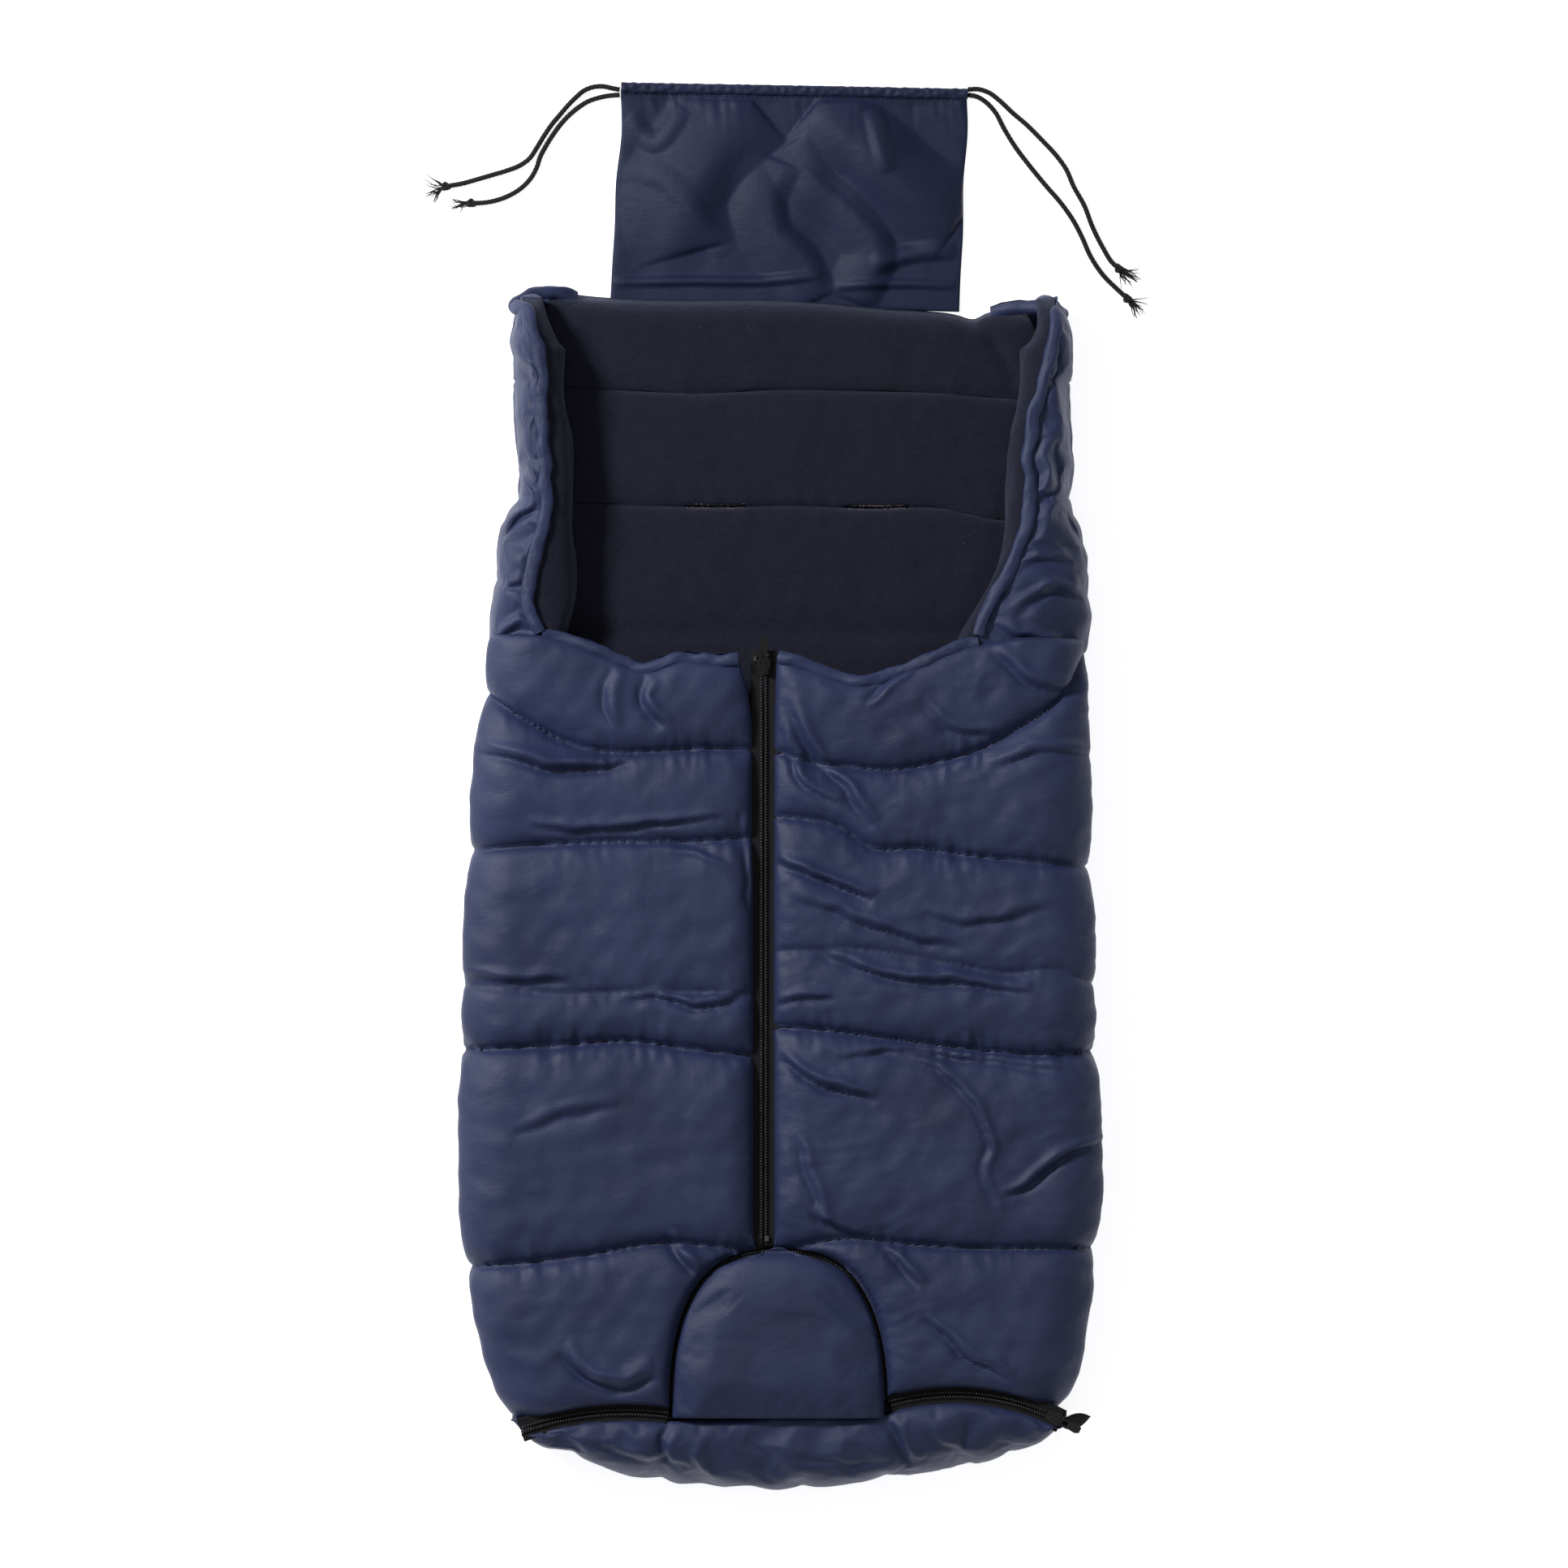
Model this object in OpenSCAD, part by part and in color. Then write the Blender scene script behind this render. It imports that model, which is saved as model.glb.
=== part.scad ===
// Padded foot muff for a pushchair, lying on its back with both zips closed.
// +X is to its right, +Y points to the head end and +Z is up from the surface it lies on.
// The origin is under the middle of the muff and its head flap, on that surface.

/* [Overall] */
// Length from the foot end to the free edge of the head flap
total_l = 1005; // [985:1:1020]
// Length of the padded body
body_l = 847.5; // [840:0.5:855]
// Width at the widest place
body_w = 454; // [446:1:462]
// Height of the closed muff
body_h = 70; // [68:1:76]

/* [Layers] */
// Thickness of the nylon outer cloth
nylon_t = 0.8; // [0.5:0.1:1]
// Thickness of the fleece lining
fleece_t = 2; // [1:0.5:3]
// Height of the padded back, lining included
back_h = 20; // [16:1:24]
// Thickness of the padded front, lining included
front_t = 16; // [14:1:18]
// Thickness of the padded side below the front
side_t = 17; // [14:1:20]
// Thickness of the raised wall beside the opening
wall_t = 40; // [34:1:44]

/* [Opening] */
// Length of the raised walls, down from the head end
wall_l = 233.5; // [225:0.5:240]
// Width of the rolled binding along every open edge
binding_w = 7; // [5:0.5:9]
// Length of a harness slot
slot_l = 44; // [38:1:50]
// Distance between the middles of the two harness slots
slot_pitch = 117.5; // [105:0.5:125]

/* [Foot] */
// Length of the foot tongue
tongue_l = 118; // [110:1:122]
// Width of the foot tongue
tongue_w = 147; // [140:1:152]
// Length of the foot end, from the tongue seam down
foot_l = 50; // [46:1:54]

/* [Zips] */
// How far the centre zip lies to the left of the middle
zip_shift = 11.5; // [0:0.5:15]
// Thickness of the zip tape
tape_t = 0.8; // [0.6:0.1:1]
// Height of the zip coil over the tape
coil_h = 2.4; // [2:0.1:2.6]
// Width of one half of the coil
coil_w = 2.6; // [2:0.1:2.8]

/* [Head flap] */
// Width of the head flap
flap_w = 250; // [240:1:255]
// Diameter of the drawcord
cord_d = 3.8; // [3:0.1:3.8]

/* [Hidden] */
$fn = 48;

NAVY = "#2b3357";
FLEECE = "#171a26";
WADDING = "#e8e8e2";
BLACK = "#141414";

// Stations along the body
foot_y = -total_l / 2;
flap_y = total_l / 2;
head_y = foot_y + body_l;
wall_y = head_y - wall_l;
widest_y = foot_y + 262.5;
shoulder_y = foot_y + 52.5;
tongue_y = foot_y + foot_l;
half_w = body_w / 2;
head_taper = 31;
foot_taper = 25;

// Levels
padding_top = body_h - nylon_t;
front_z = body_h - front_t;
side_top = front_z - 0.5;
wall_top = body_h - 8;
tape_top = front_z + tape_t;
coil_top = tape_top + coil_h;

// Half the body's width at fixed stations, with straight lines between them
stations = 24;
width_table = [for (i = [0:stations])
    let (y = shoulder_y + (head_y - shoulder_y) * i / stations) [y, y > widest_y
        ? half_w - head_taper * pow((y - widest_y) / (head_y - widest_y), 1.5)
        : half_w - foot_taper * pow((widest_y - y) / (widest_y - shoulder_y), 2)]];
function half_width(y) = lookup(y, width_table);

// Half of a full curve at the foot end, from the left shoulder to the right one
arc_steps = 24;
function foot_arc(inset) = let (
    a = half_w - foot_taper - inset,
    b = shoulder_y - foot_y - inset
) [for (i = [0:arc_steps]) let (t = 180 * i / arc_steps, c = cos(t), s = sin(t))
    [-sign(c) * a * pow(abs(c), 0.9), shoulder_y - b * pow(s, 0.9)]];

// Points along one side, from one place to another
function side_line(side, inset, y0, y1) = concat(
    [[side * (half_width(y0) - inset), y0]],
    [for (i = [0:stations]) let (y = width_table[y0 < y1 ? i : stations - i][0])
        if (y > min(y0, y1) + 0.01 && y < max(y0, y1) - 0.01)
            [side * (half_width(y) - inset), y]],
    [[side * (half_width(y1) - inset), y1]]);
function side_strip(side, outer, inner, y0, y1) =
    concat(side_line(side, outer, y0, y1), side_line(side, inner, y1, y0));

// The outline of the whole body, or of the layer that lies inside it
function outline(inset, top_y) = concat(
    side_line(-1, inset, top_y, shoulder_y), foot_arc(inset),
    side_line(1, inset, shoulder_y, top_y));

module slab(points, z0, z1) {
    translate([0, 0, z0]) linear_extrude(z1 - z0) polygon(points);
}

// ---- Back ----
slot_w = 8;
slot_mid_x = 13;
slot_y = head_y - 145;
slot_lining = 0.8;

module at_slots() {
    for (side = [-1, 1])
        translate([slot_mid_x + side * slot_pitch / 2, slot_y, 0]) children();
}
module slot_hole(grow) {
    translate([-slot_l / 2 - grow, -slot_w / 2 - grow, -1])
        cube([slot_l + 2 * grow, slot_w + 2 * grow, back_h + 2]);
}
module back_layer(z0, z1) {
    difference() {
        union() {
            slab(concat(side_line(-1, side_t, wall_y, shoulder_y), [[-185, shoulder_y]],
                [for (i = [len(foot_edge(0)) - 1:-1:0])
                    if (abs(foot_edge(0)[i][0]) < 184) foot_edge(0)[i] + [0, 0.02]],
                [[185, shoulder_y]], side_line(1, side_t, shoulder_y, wall_y)), z0, z1);
            slab(concat(side_line(-1, wall_t, head_y - nylon_t, wall_y),
                side_line(1, wall_t, wall_y, head_y - nylon_t)), z0, z1);
        }
        at_slots() slot_hole(0);
    }
}
module back_shell() {
    color(NAVY) difference() {
        slab(outline(0, head_y), 0, nylon_t);
        at_slots() slot_hole(0);
    }
}
module back_padding() {
    color(WADDING) back_layer(nylon_t, back_h - fleece_t);
}
module back_lining() {
    color(FLEECE) back_layer(back_h - fleece_t, back_h);
}
module harness_slot_bindings() {
    color(NAVY) at_slots() intersection() {
        difference() {
            slot_hole(0);
            slot_hole(-slot_lining);
        }
        translate([-slot_l, -slot_w, 0]) cube([2 * slot_l, 2 * slot_w, back_h]);
    }
}

// ---- Sides and raised walls ----
side_foot_y = tongue_y + 6.2;
// The side layers stay below the foot slider's lower plate as far as this
slider_room_y = tongue_y + 18;
slider_room_z = front_z - 1.8;
rim_inset = 19.5;

module side_shell(side) {
    color(NAVY) {
        slab(side_strip(side, 0, nylon_t, side_foot_y, wall_y), nylon_t, side_top);
        slab(side_strip(side, 0, nylon_t, wall_y, head_y), nylon_t, wall_top);
        slab(side_strip(side, nylon_t, rim_inset, wall_y, head_y),
            wall_top - nylon_t, wall_top);
    }
}
module side_padding(side) {
    color(WADDING) {
        slab(side_strip(side, nylon_t, side_t - fleece_t, slider_room_y, wall_y),
            nylon_t, side_top);
        slab(side_strip(side, nylon_t, side_t - fleece_t, side_foot_y, slider_room_y),
            nylon_t, slider_room_z);
        slab(side_strip(side, nylon_t, wall_t - fleece_t, wall_y, head_y),
            nylon_t, wall_top - nylon_t);
    }
}
module side_lining(side) {
    color(FLEECE) {
        slab(side_strip(side, side_t - fleece_t, side_t, side_foot_y, wall_y),
            nylon_t, side_top);
        slab(side_strip(side, wall_t - fleece_t, wall_t, wall_y, head_y),
            nylon_t, wall_top);
        slab(side_strip(side, rim_inset, wall_t - fleece_t, wall_y, head_y),
            wall_top - nylon_t, wall_top);
    }
}
module wall_binding(side) {
    color(NAVY) slab(side_strip(side, rim_inset - binding_w / 2,
        rim_inset + binding_w / 2, wall_y + 1.5, head_y - 2), wall_top, body_h);
}

// ---- Foot end ----
foot_tip_h = 14;
run_gap = 5.5;
run_steps = 12;

// The foot zip's middle is an arc each side of the tongue: its centre, its radius and its ends
function run_centre(side) = side < 0 ? [-110, foot_y - 165.5] : [124, foot_y - 96];
function run_r(side) = side < 0 ? 221 : 164;
function run_in(side) = side < 0 ? -79 : 79;
function run_out(side) = side < 0 ? -187 : 200.5;
function run_y(side, grow, x) = let (c = run_centre(side))
    c[1] + sqrt(pow(run_r(side) + grow, 2) - pow(x - c[0], 2));
function run_points(side, grow, x0, x1) = [for (i = [0:run_steps])
    let (x = x0 + (x1 - x0) * i / run_steps) [x, run_y(side, grow, x)]];

// The foot end's inner edge, from right to left, moved down by a distance
function foot_edge(back) = [for (p = concat(
    run_points(1, -run_gap, run_out(1), run_in(1) - 2),
    [[run_in(1) - 2, tongue_y], [run_in(-1) + 2, tongue_y]],
    run_points(-1, -run_gap, run_in(-1) + 2, run_out(-1)))) p - [0, back]];
module foot_plan(inset) {
    polygon(concat(foot_edge(0), [for (p = foot_arc(inset))
        if (p[1] < run_y(sign(p[0] + 0.01), -run_gap, p[0]) - 0.5) p]));
}
// All that lies below the lining of the inner edge
module below_lining() {
    edge = foot_edge(fleece_t);
    polygon(concat([[body_w, edge[0][1]]], edge,
        [[-body_w, edge[len(edge) - 1][1]], [-body_w, foot_y - 20], [body_w, foot_y - 20]]));
}
module foot_profile(inset) {
    crest_y = tongue_y + 10;
    run = crest_y - foot_y;
    steps = 16;
    polygon(concat([[crest_y + 30, nylon_t], [crest_y + 30, front_z - inset]],
        [for (i = [0:steps]) let (d = i / steps * run)
            [crest_y - d, max(nylon_t + 1, foot_tip_h - inset
            + (front_z - foot_tip_h) * sqrt(1 - pow(d / run, 2)))]],
        [[foot_y, nylon_t]]));
}
module foot_height(inset) {
    translate([-body_w, 0, 0]) rotate([90, 0, 90]) linear_extrude(2 * body_w)
        foot_profile(inset);
}
module foot_end_shell() {
    color(NAVY) difference() {
        intersection() {
            linear_extrude(body_h) foot_plan(0);
            foot_height(0);
        }
        intersection() {
            linear_extrude(body_h) foot_plan(nylon_t);
            foot_height(nylon_t);
        }
    }
}
module foot_end_padding() {
    color(WADDING) intersection() {
        linear_extrude(body_h) intersection() {
            foot_plan(nylon_t);
            below_lining();
        }
        foot_height(nylon_t);
    }
}
module foot_end_lining() {
    color(FLEECE) intersection() {
        linear_extrude(body_h) difference() {
            foot_plan(nylon_t);
            below_lining();
        }
        foot_height(nylon_t);
    }
}

// ---- Tongue and the curves round it ----
tongue_x = -1;
curve_y = tongue_y + 52;
zip_x = -zip_shift;
tape_w = 8;
chain_gap = 0.6;
loop_mid = 4;
loop_edge = 8;
curve_steps = 24;

// The tongue's outline, or a curve that runs outside it at a distance
function tongue_arc(grow, a0, a1) = [for (i = [0:curve_steps])
    let (t = a0 + (a1 - a0) * i / curve_steps)
    [tongue_x + (tongue_w / 2 + grow) * cos(t), curve_y + (tongue_l - 52 + grow) * sin(t)]];
function tongue_line(grow, y) = concat(
    [[tongue_x + tongue_w / 2 + grow, y]], tongue_arc(grow, 0, 180),
    [[tongue_x - tongue_w / 2 - grow, y]]);

// The angle on such a curve at which it passes under a given x
function angle_at(grow, x) = acos((x - tongue_x) / (tongue_w / 2 + grow));

module tongue_layer(z0, z1) {
    slab(tongue_line(0, tongue_y + 0.3), z0, z1);
}
module tongue_shell() {
    color(NAVY) tongue_layer(padding_top, body_h);
}
module tongue_padding() {
    color(WADDING) tongue_layer(front_z + fleece_t, padding_top);
}
module tongue_lining() {
    color(FLEECE) tongue_layer(front_z, front_z + fleece_t);
}
module tongue_ring(inner, outer, z0, z1) {
    slab(concat(tongue_line(outer, tongue_y + 4), [for (i = [curve_steps + 2:-1:0])
        tongue_line(inner, tongue_y + 4)[i]]), z0, z1);
}
module tongue_zip_tape() {
    color(BLACK) tongue_ring(0, loop_mid - chain_gap, front_z, tape_top);
}
module tongue_zip_coil() {
    color(BLACK) tongue_ring(loop_mid - chain_gap - coil_w, loop_mid - chain_gap,
        tape_top, coil_top);
}

// ---- Front panels ----
front_head_y = wall_y - 0.6;

// The open edge at the top of a front panel, from the wall to the zip
edge_points = [[172, 1.5], [150, 7], [125, 15], [96, 25], [74, 22], [48, 21]];
edge_at_zip = 19;

function open_edge(side, back) = concat(
    [for (p = edge_points) [side * p[0], wall_y - p[1] - back]],
    [[zip_x + side * tape_w, wall_y - edge_at_zip - back]]);
function front_foot_y(side) = run_y(side, tape_w, run_out(side));
function front_outline(side, inset, back) = concat(
    [[side * (half_width(front_head_y) - inset), front_head_y - back]],
    open_edge(side, back),
    side < 0 ? tongue_arc(loop_edge, angle_at(loop_edge, zip_x - tape_w), 180)
        : tongue_arc(loop_edge, angle_at(loop_edge, zip_x + tape_w), 0),
    run_points(side, tape_w, tongue_x + side * (tongue_w / 2 + loop_edge), run_out(side)),
    [[side * (half_width(front_foot_y(side)) - inset), front_foot_y(side)]],
    side_line(side, inset, front_foot_y(side) + 2, front_head_y - back - 2));

module front_shell(side) {
    color(NAVY) {
        slab(front_outline(side, 0, binding_w), padding_top, body_h);
        slab(side_strip(side, 0, nylon_t, front_foot_y(side),
            front_head_y - binding_w), front_z, padding_top);
    }
}
module front_padding(side) {
    color(WADDING) slab(front_outline(side, nylon_t, binding_w),
        front_z + fleece_t, padding_top);
}
module front_lining(side) {
    color(FLEECE) slab(front_outline(side, nylon_t, binding_w),
        front_z, front_z + fleece_t);
}
module front_binding(side) {
    corner_x = side * (half_width(front_head_y) - nylon_t);
    upper = concat([[corner_x, front_head_y]], open_edge(side, 0));
    lower = concat([[corner_x, front_head_y - binding_w]], open_edge(side, binding_w));
    count = len(lower) - 1;
    color(NAVY) slab(concat(upper, [for (i = [count:-1:0]) lower[i]]),
        front_z, front_z + 12);
}

// ---- Centre zip ----
slider_l = 13;
slider_y = wall_y - 26;
slider_half = 4.8;
slider_travel = 400;
chain_head = slider_y - slider_l / 2 - 0.8;
chain_foot = slider_y - slider_travel + slider_l / 2 + 0.6;
notch = slider_half + 0.4;
tape_head = wall_y - edge_at_zip;
tape_foot = curve_y + tongue_l - 52 + loop_edge + 1.5;

module centre_strip(side, from, to, y0, y1, z0, z1) {
    slab([[zip_x + side * from, y0], [zip_x + side * to, y0],
        [zip_x + side * to, y1], [zip_x + side * from, y1]], z0, z1);
}
module centre_zip_left_tape() {
    color(BLACK) {
        centre_strip(-1, notch, tape_w, tape_foot, tape_head, front_z, tape_top);
        centre_strip(-1, chain_gap, notch, chain_foot, chain_head, front_z, tape_top);
    }
}
module centre_zip_left_coil() {
    color(BLACK) centre_strip(-1, chain_gap, chain_gap + coil_w, chain_foot, chain_head,
        tape_top, coil_top);
}
module centre_zip_left_top_stop() {
    color(BLACK) centre_strip(-1, notch, notch + 2, tape_head - 4, tape_head - 0.5,
        tape_top, coil_top);
}
module centre_zip_right_tape() {
    color(BLACK) centre_strip(1, chain_gap, tape_w, tape_foot, tape_head + 1.5,
        front_z, tape_top);
}
module centre_zip_right_coil() {
    color(BLACK) centre_strip(1, chain_gap, chain_gap + coil_w, chain_foot - slider_l,
        slider_y + slider_l / 2, tape_top, coil_top);
}
module centre_zip_right_top_stop() {
    color(BLACK) centre_strip(1, chain_gap, chain_gap + coil_w + 0.4, tape_head - 0.2,
        tape_head + 1.3, tape_top, coil_top + 0.2);
}
module centre_zip_bottom_stop() {
    stop_y = slider_y - slider_travel - slider_l / 2 - 0.4;
    color(BLACK) centre_strip(1, chain_gap, chain_gap + coil_w + 0.4, tape_foot,
        stop_y, tape_top, coil_top + 0.2);
}

// ---- Slider and pull, made at the origin with the nose towards +Y ----
plate_t = 1.2;
lower_plate_t = 1;
plate_gap = 0.3;
plate_z = coil_top + plate_gap;
bridge_w = 2.2;
pivot_y = 2.2;
pivot_r = 0.7;
pivot_z = plate_z + plate_t + 1.3;
pull_window = 8;
pull_l = 18;

slider_plan = [[-3, -6.5], [3, -6.5], [4.8, 1.5], [4.8, 3.5], [2.4, 6.5],
    [-2.4, 6.5], [-4.8, 3.5], [-4.8, 1.5]];

module slider() {
    slab(slider_plan, plate_z, plate_z + plate_t);
    slab(slider_plan, front_z - plate_gap - lower_plate_t, front_z - plate_gap);
    for (side = [-1, 1])
        slab([[side * 3.9, -2.2], [side * 4.7, -0.4], [side * 4.7, 3.4],
            [side * 3.9, 4.3]], tape_top + plate_gap, plate_z);
    translate([-0.4, 3, front_z - plate_gap])
        cube([0.8, 3, plate_z - front_z + plate_gap]);
    translate([-bridge_w / 2, -4.5, plate_z + plate_t]) difference() {
        cube([bridge_w, 9, 3.6]);
        translate([-1, 1.2, -1]) cube([bridge_w + 2, 6.6, 3.6]);
    }
}
module pull() {
    translate([0, pivot_y, pivot_z]) {
        rotate([0, 90, 0]) cylinder(r = pivot_r, h = 5.4, center = true);
        for (side = [-1, 1])
            translate([side * 2.1 - 0.6, 0, -pivot_r])
                cube([1.2, pull_window, 2 * pivot_r]);
        slab([[-2.7, pull_window], [2.7, pull_window], [3.4, pull_l - 3],
            [2, pull_l], [-2, pull_l], [-3.4, pull_l - 3]], -pivot_r, pivot_r);
    }
}
module centre_zip_slider() {
    color(BLACK) translate([zip_x, slider_y, 0]) slider();
}
module centre_zip_pull() {
    color(BLACK) translate([zip_x, slider_y, 0]) pull();
}

// ---- Foot zip: an arc each side of the tongue ----
foot_slider_angle = 26;
foot_travel = 39;
slider_arc = (slider_l / 2 + 0.8) * 180 / (PI * run_r(1));

// A frame on the right-hand arc: +X along it outwards, +Y on the front panel's side
module on_run(angle) {
    translate(run_centre(1)) rotate([0, 0, -angle]) translate([0, run_r(1), 0]) children();
}
module run_strip(side, v0, v1, x0, x1, z0, z1) {
    count = run_steps;
    slab(concat(run_points(side, v0, x0, x1),
        [for (i = [count:-1:0]) run_points(side, v1, x0, x1)[i]]), z0, z1);
}
module foot_zip_lower_tapes() {
    color(BLACK) for (side = [-1, 1])
        run_strip(side, -tape_w, -chain_gap, run_in(side), run_out(side), front_z, tape_top);
}
module foot_zip_lower_coils() {
    color(BLACK) for (side = [-1, 1])
        run_strip(side, -chain_gap - coil_w, -chain_gap, run_in(side), run_out(side) - side,
            tape_top, coil_top);
}
module upper_loop(side, inner, outer, z0, z1) {
    start = angle_at(inner, zip_x + side * tape_w);
    finish = side < 0 ? 180 : 0;
    slab(concat([[tongue_x + side * (tongue_w / 2 + outer), tongue_y + 24]],
        tongue_arc(outer, finish, start), tongue_arc(inner, start, finish),
        [[tongue_x + side * (tongue_w / 2 + inner), tongue_y + 24]]), z0, z1);
}
// The ends, in x, of the stretch of upper coil that the slider passes over
function coil_in(side) = side < 0 ? run_in(-1) - 2
    : run_centre(1)[0] + run_r(1) * sin(foot_slider_angle - foot_travel + slider_arc);
function coil_out(side) = side < 0 ? run_out(-1) + 1
    : run_centre(1)[0] + run_r(1) * sin(foot_slider_angle - slider_arc);
module foot_zip_upper_tape(side) {
    color(BLACK) {
        run_strip(side, notch, tape_w - 0.3, run_in(side) + side * 2, run_out(side),
            front_z, tape_top);
        run_strip(side, chain_gap, notch, coil_in(side), coil_out(side), front_z, tape_top);
        upper_loop(side, loop_mid + chain_gap, loop_edge, front_z, tape_top);
    }
}
module foot_zip_upper_coil(side) {
    color(BLACK) {
        run_strip(side, chain_gap, chain_gap + coil_w, coil_in(side), coil_out(side),
            tape_top, coil_top);
        upper_loop(side, loop_mid + chain_gap, loop_mid + chain_gap + coil_w,
            tape_top, coil_top);
    }
}
module foot_zip_tape_ends() {
    corner_y = shoulder_y - 8;
    color(BLACK) {
        for (side = [-1, 1])
            slab(side_strip(side, 0, nylon_t, corner_y, side_foot_y - 0.2),
                nylon_t, slider_room_z);
        translate([run_out(1) + 3.8, corner_y + 3, front_z]) rotate([0, 0, 10])
            linear_extrude(tape_t)
                polygon([[0, -4], [9, -5], [15, -2], [17, 1], [9, 4], [0, 3]]);
    }
}
module foot_zip_slider() {
    color(BLACK) on_run(foot_slider_angle) rotate([0, 0, -90]) slider();
}
module foot_zip_pull() {
    color(BLACK) on_run(foot_slider_angle) rotate([0, 0, -90]) pull();
}

// ---- Head flap ----
flap_x = 10;
flap_z = 0.4;
flap_t = 1.2;
fold_y = head_y + 12;
hem_w = 9.6;
hem_h = 5.6;
hem_wall = 0.8;
hem_y = flap_y - hem_w;
cord_gap = 1.95;

module flap_seam_band() {
    color(NAVY) translate([flap_x - flap_w / 2 - 5, head_y, flap_z])
        cube([flap_w + 2, fold_y - head_y - 1.5, flap_t]);
}
module head_flap_panel() {
    color(NAVY) slab([[flap_x - flap_w / 2 - 6, fold_y + 1.2],
        [flap_x + flap_w / 2 - 4, fold_y + 1.2],
        [flap_x + flap_w / 2, hem_y], [flap_x - flap_w / 2, hem_y]],
        flap_z, flap_z + flap_t);
}
module head_flap_hem() {
    color(NAVY) translate([flap_x - flap_w / 2, hem_y, 0]) difference() {
        cube([flap_w, hem_w, hem_h]);
        translate([-1, hem_wall, hem_wall])
            cube([flap_w + 2, hem_w - 2 * hem_wall, hem_h - 2 * hem_wall]);
    }
}
module drawcords_in_hem() {
    color(BLACK) for (side = [-1, 1])
        translate([flap_x - flap_w / 2, hem_y + hem_w / 2 + side * cord_gap, hem_h / 2])
            rotate([0, 90, 0]) cylinder(d = cord_d, h = flap_w);
}

// ---- Drawcord ends: where each one lies, from the hem to its knot ----
lie_z = 1.9;
left_upper_route = [[-115, 499.65, 2.8], [-120, 500.5, 2.6], [-127, 502, 2.1],
    [-134, 501.5, lie_z], [-140.5, 499, lie_z], [-146, 494.5, lie_z], [-152, 488.5, lie_z],
    [-158, 481.5, lie_z], [-163.5, 475, lie_z], [-169, 467, lie_z], [-174.5, 458, lie_z],
    [-180, 450, lie_z], [-187, 445, lie_z], [-196, 441.5, lie_z], [-206, 438.5, lie_z],
    [-218, 435, lie_z], [-229, 432, lie_z], [-236, 430.8, 2.2], [-240, 430, 2.8]];
left_lower_route = [[-115, 495.75, 2.8], [-122, 495.3, 2.3], [-130, 493.8, lie_z],
    [-138, 491, lie_z], [-145, 486.5, lie_z], [-151.5, 481, lie_z], [-157.5, 474.5, lie_z],
    [-163, 467, lie_z], [-168, 459, lie_z], [-172, 451.5, lie_z], [-174.5, 444, lie_z],
    [-178.5, 436.5, lie_z], [-185, 429.5, lie_z], [-193.5, 424, lie_z],
    [-203, 420.3, lie_z], [-212, 418.5, 2.1], [-221.6, 418, 2.8]];
right_upper_route = [[135, 499.65, 2.8], [142, 500, 2.4], [150, 497.5, lie_z],
    [158, 491.5, lie_z], [167, 483, lie_z], [177, 474.5, lie_z], [188, 463.5, lie_z],
    [199.5, 451, lie_z], [205.5, 442.5, lie_z], [211, 430, lie_z], [218.5, 416.5, lie_z],
    [224.5, 401, lie_z], [232, 386, lie_z], [239, 375, 2.2], [243.5, 371, 2.8]];
right_lower_route = [[135, 495.75, 2.8], [141.5, 494.5, 2.4], [148, 490.5, lie_z],
    [154.5, 483.5, lie_z], [161, 471.5, lie_z], [169, 458.5, lie_z], [180, 444, lie_z],
    [191.5, 430, lie_z], [201.5, 418.5, lie_z], [211, 405, lie_z], [217, 393.5, lie_z],
    [223, 380, lie_z], [232, 366.5, lie_z], [243, 355.5, 2.2], [249.5, 349.5, 2.8]];

function unit(v) = v / norm(v);

// A round tube swept along a route, as one closed solid
module tube(route, d) {
    sides = 8;
    last = len(route) - 1;
    points = [for (i = [0:last]) let (
        along = unit(route[min(i + 1, last)] - route[max(i - 1, 0)]),
        across = unit(cross(along, [0, 0, 1])),
        up = cross(across, along)
    ) for (k = [0:sides - 1]) let (a = 360 * (k + 0.5) / sides)
        route[i] + d / 2 * (cos(a) * across + sin(a) * up)];
    faces = concat(
        [[for (k = [0:sides - 1]) k]],
        [for (i = [0:last - 1]) for (k = [0:sides - 1]) for (half = [0, 1])
            let (n = (k + 1) % sides, a = i * sides, b = a + sides)
            half == 0 ? [a + k, b + k, b + n] : [a + k, b + n, a + n]],
        [[for (k = [sides - 1:-1:0]) last * sides + k]]);
    polyhedron(points, faces);
}
module cord(route) {
    last = len(route) - 1;
    back = unit(route[last - 1] - route[last]);
    color(BLACK) tube(concat([for (i = [0:last - 1]) route[i]],
        [route[last] + back * (knot_r + 0.02)]), cord_d);
}

// An overhand knot with the frayed end beyond it
knot_r = 3.3;
fray_l = 14;
module knot(route) {
    last = len(route) - 1;
    way = route[last] - route[last - 1];
    color(BLACK) translate([route[last][0], route[last][1], knot_r]) {
        sphere(r = knot_r);
        rotate([0, 0, atan2(way[1], way[0])]) rotate([0, 90, 0])
            cylinder(r1 = 1.8, r2 = 3.2, h = fray_l);
    }
}

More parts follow.
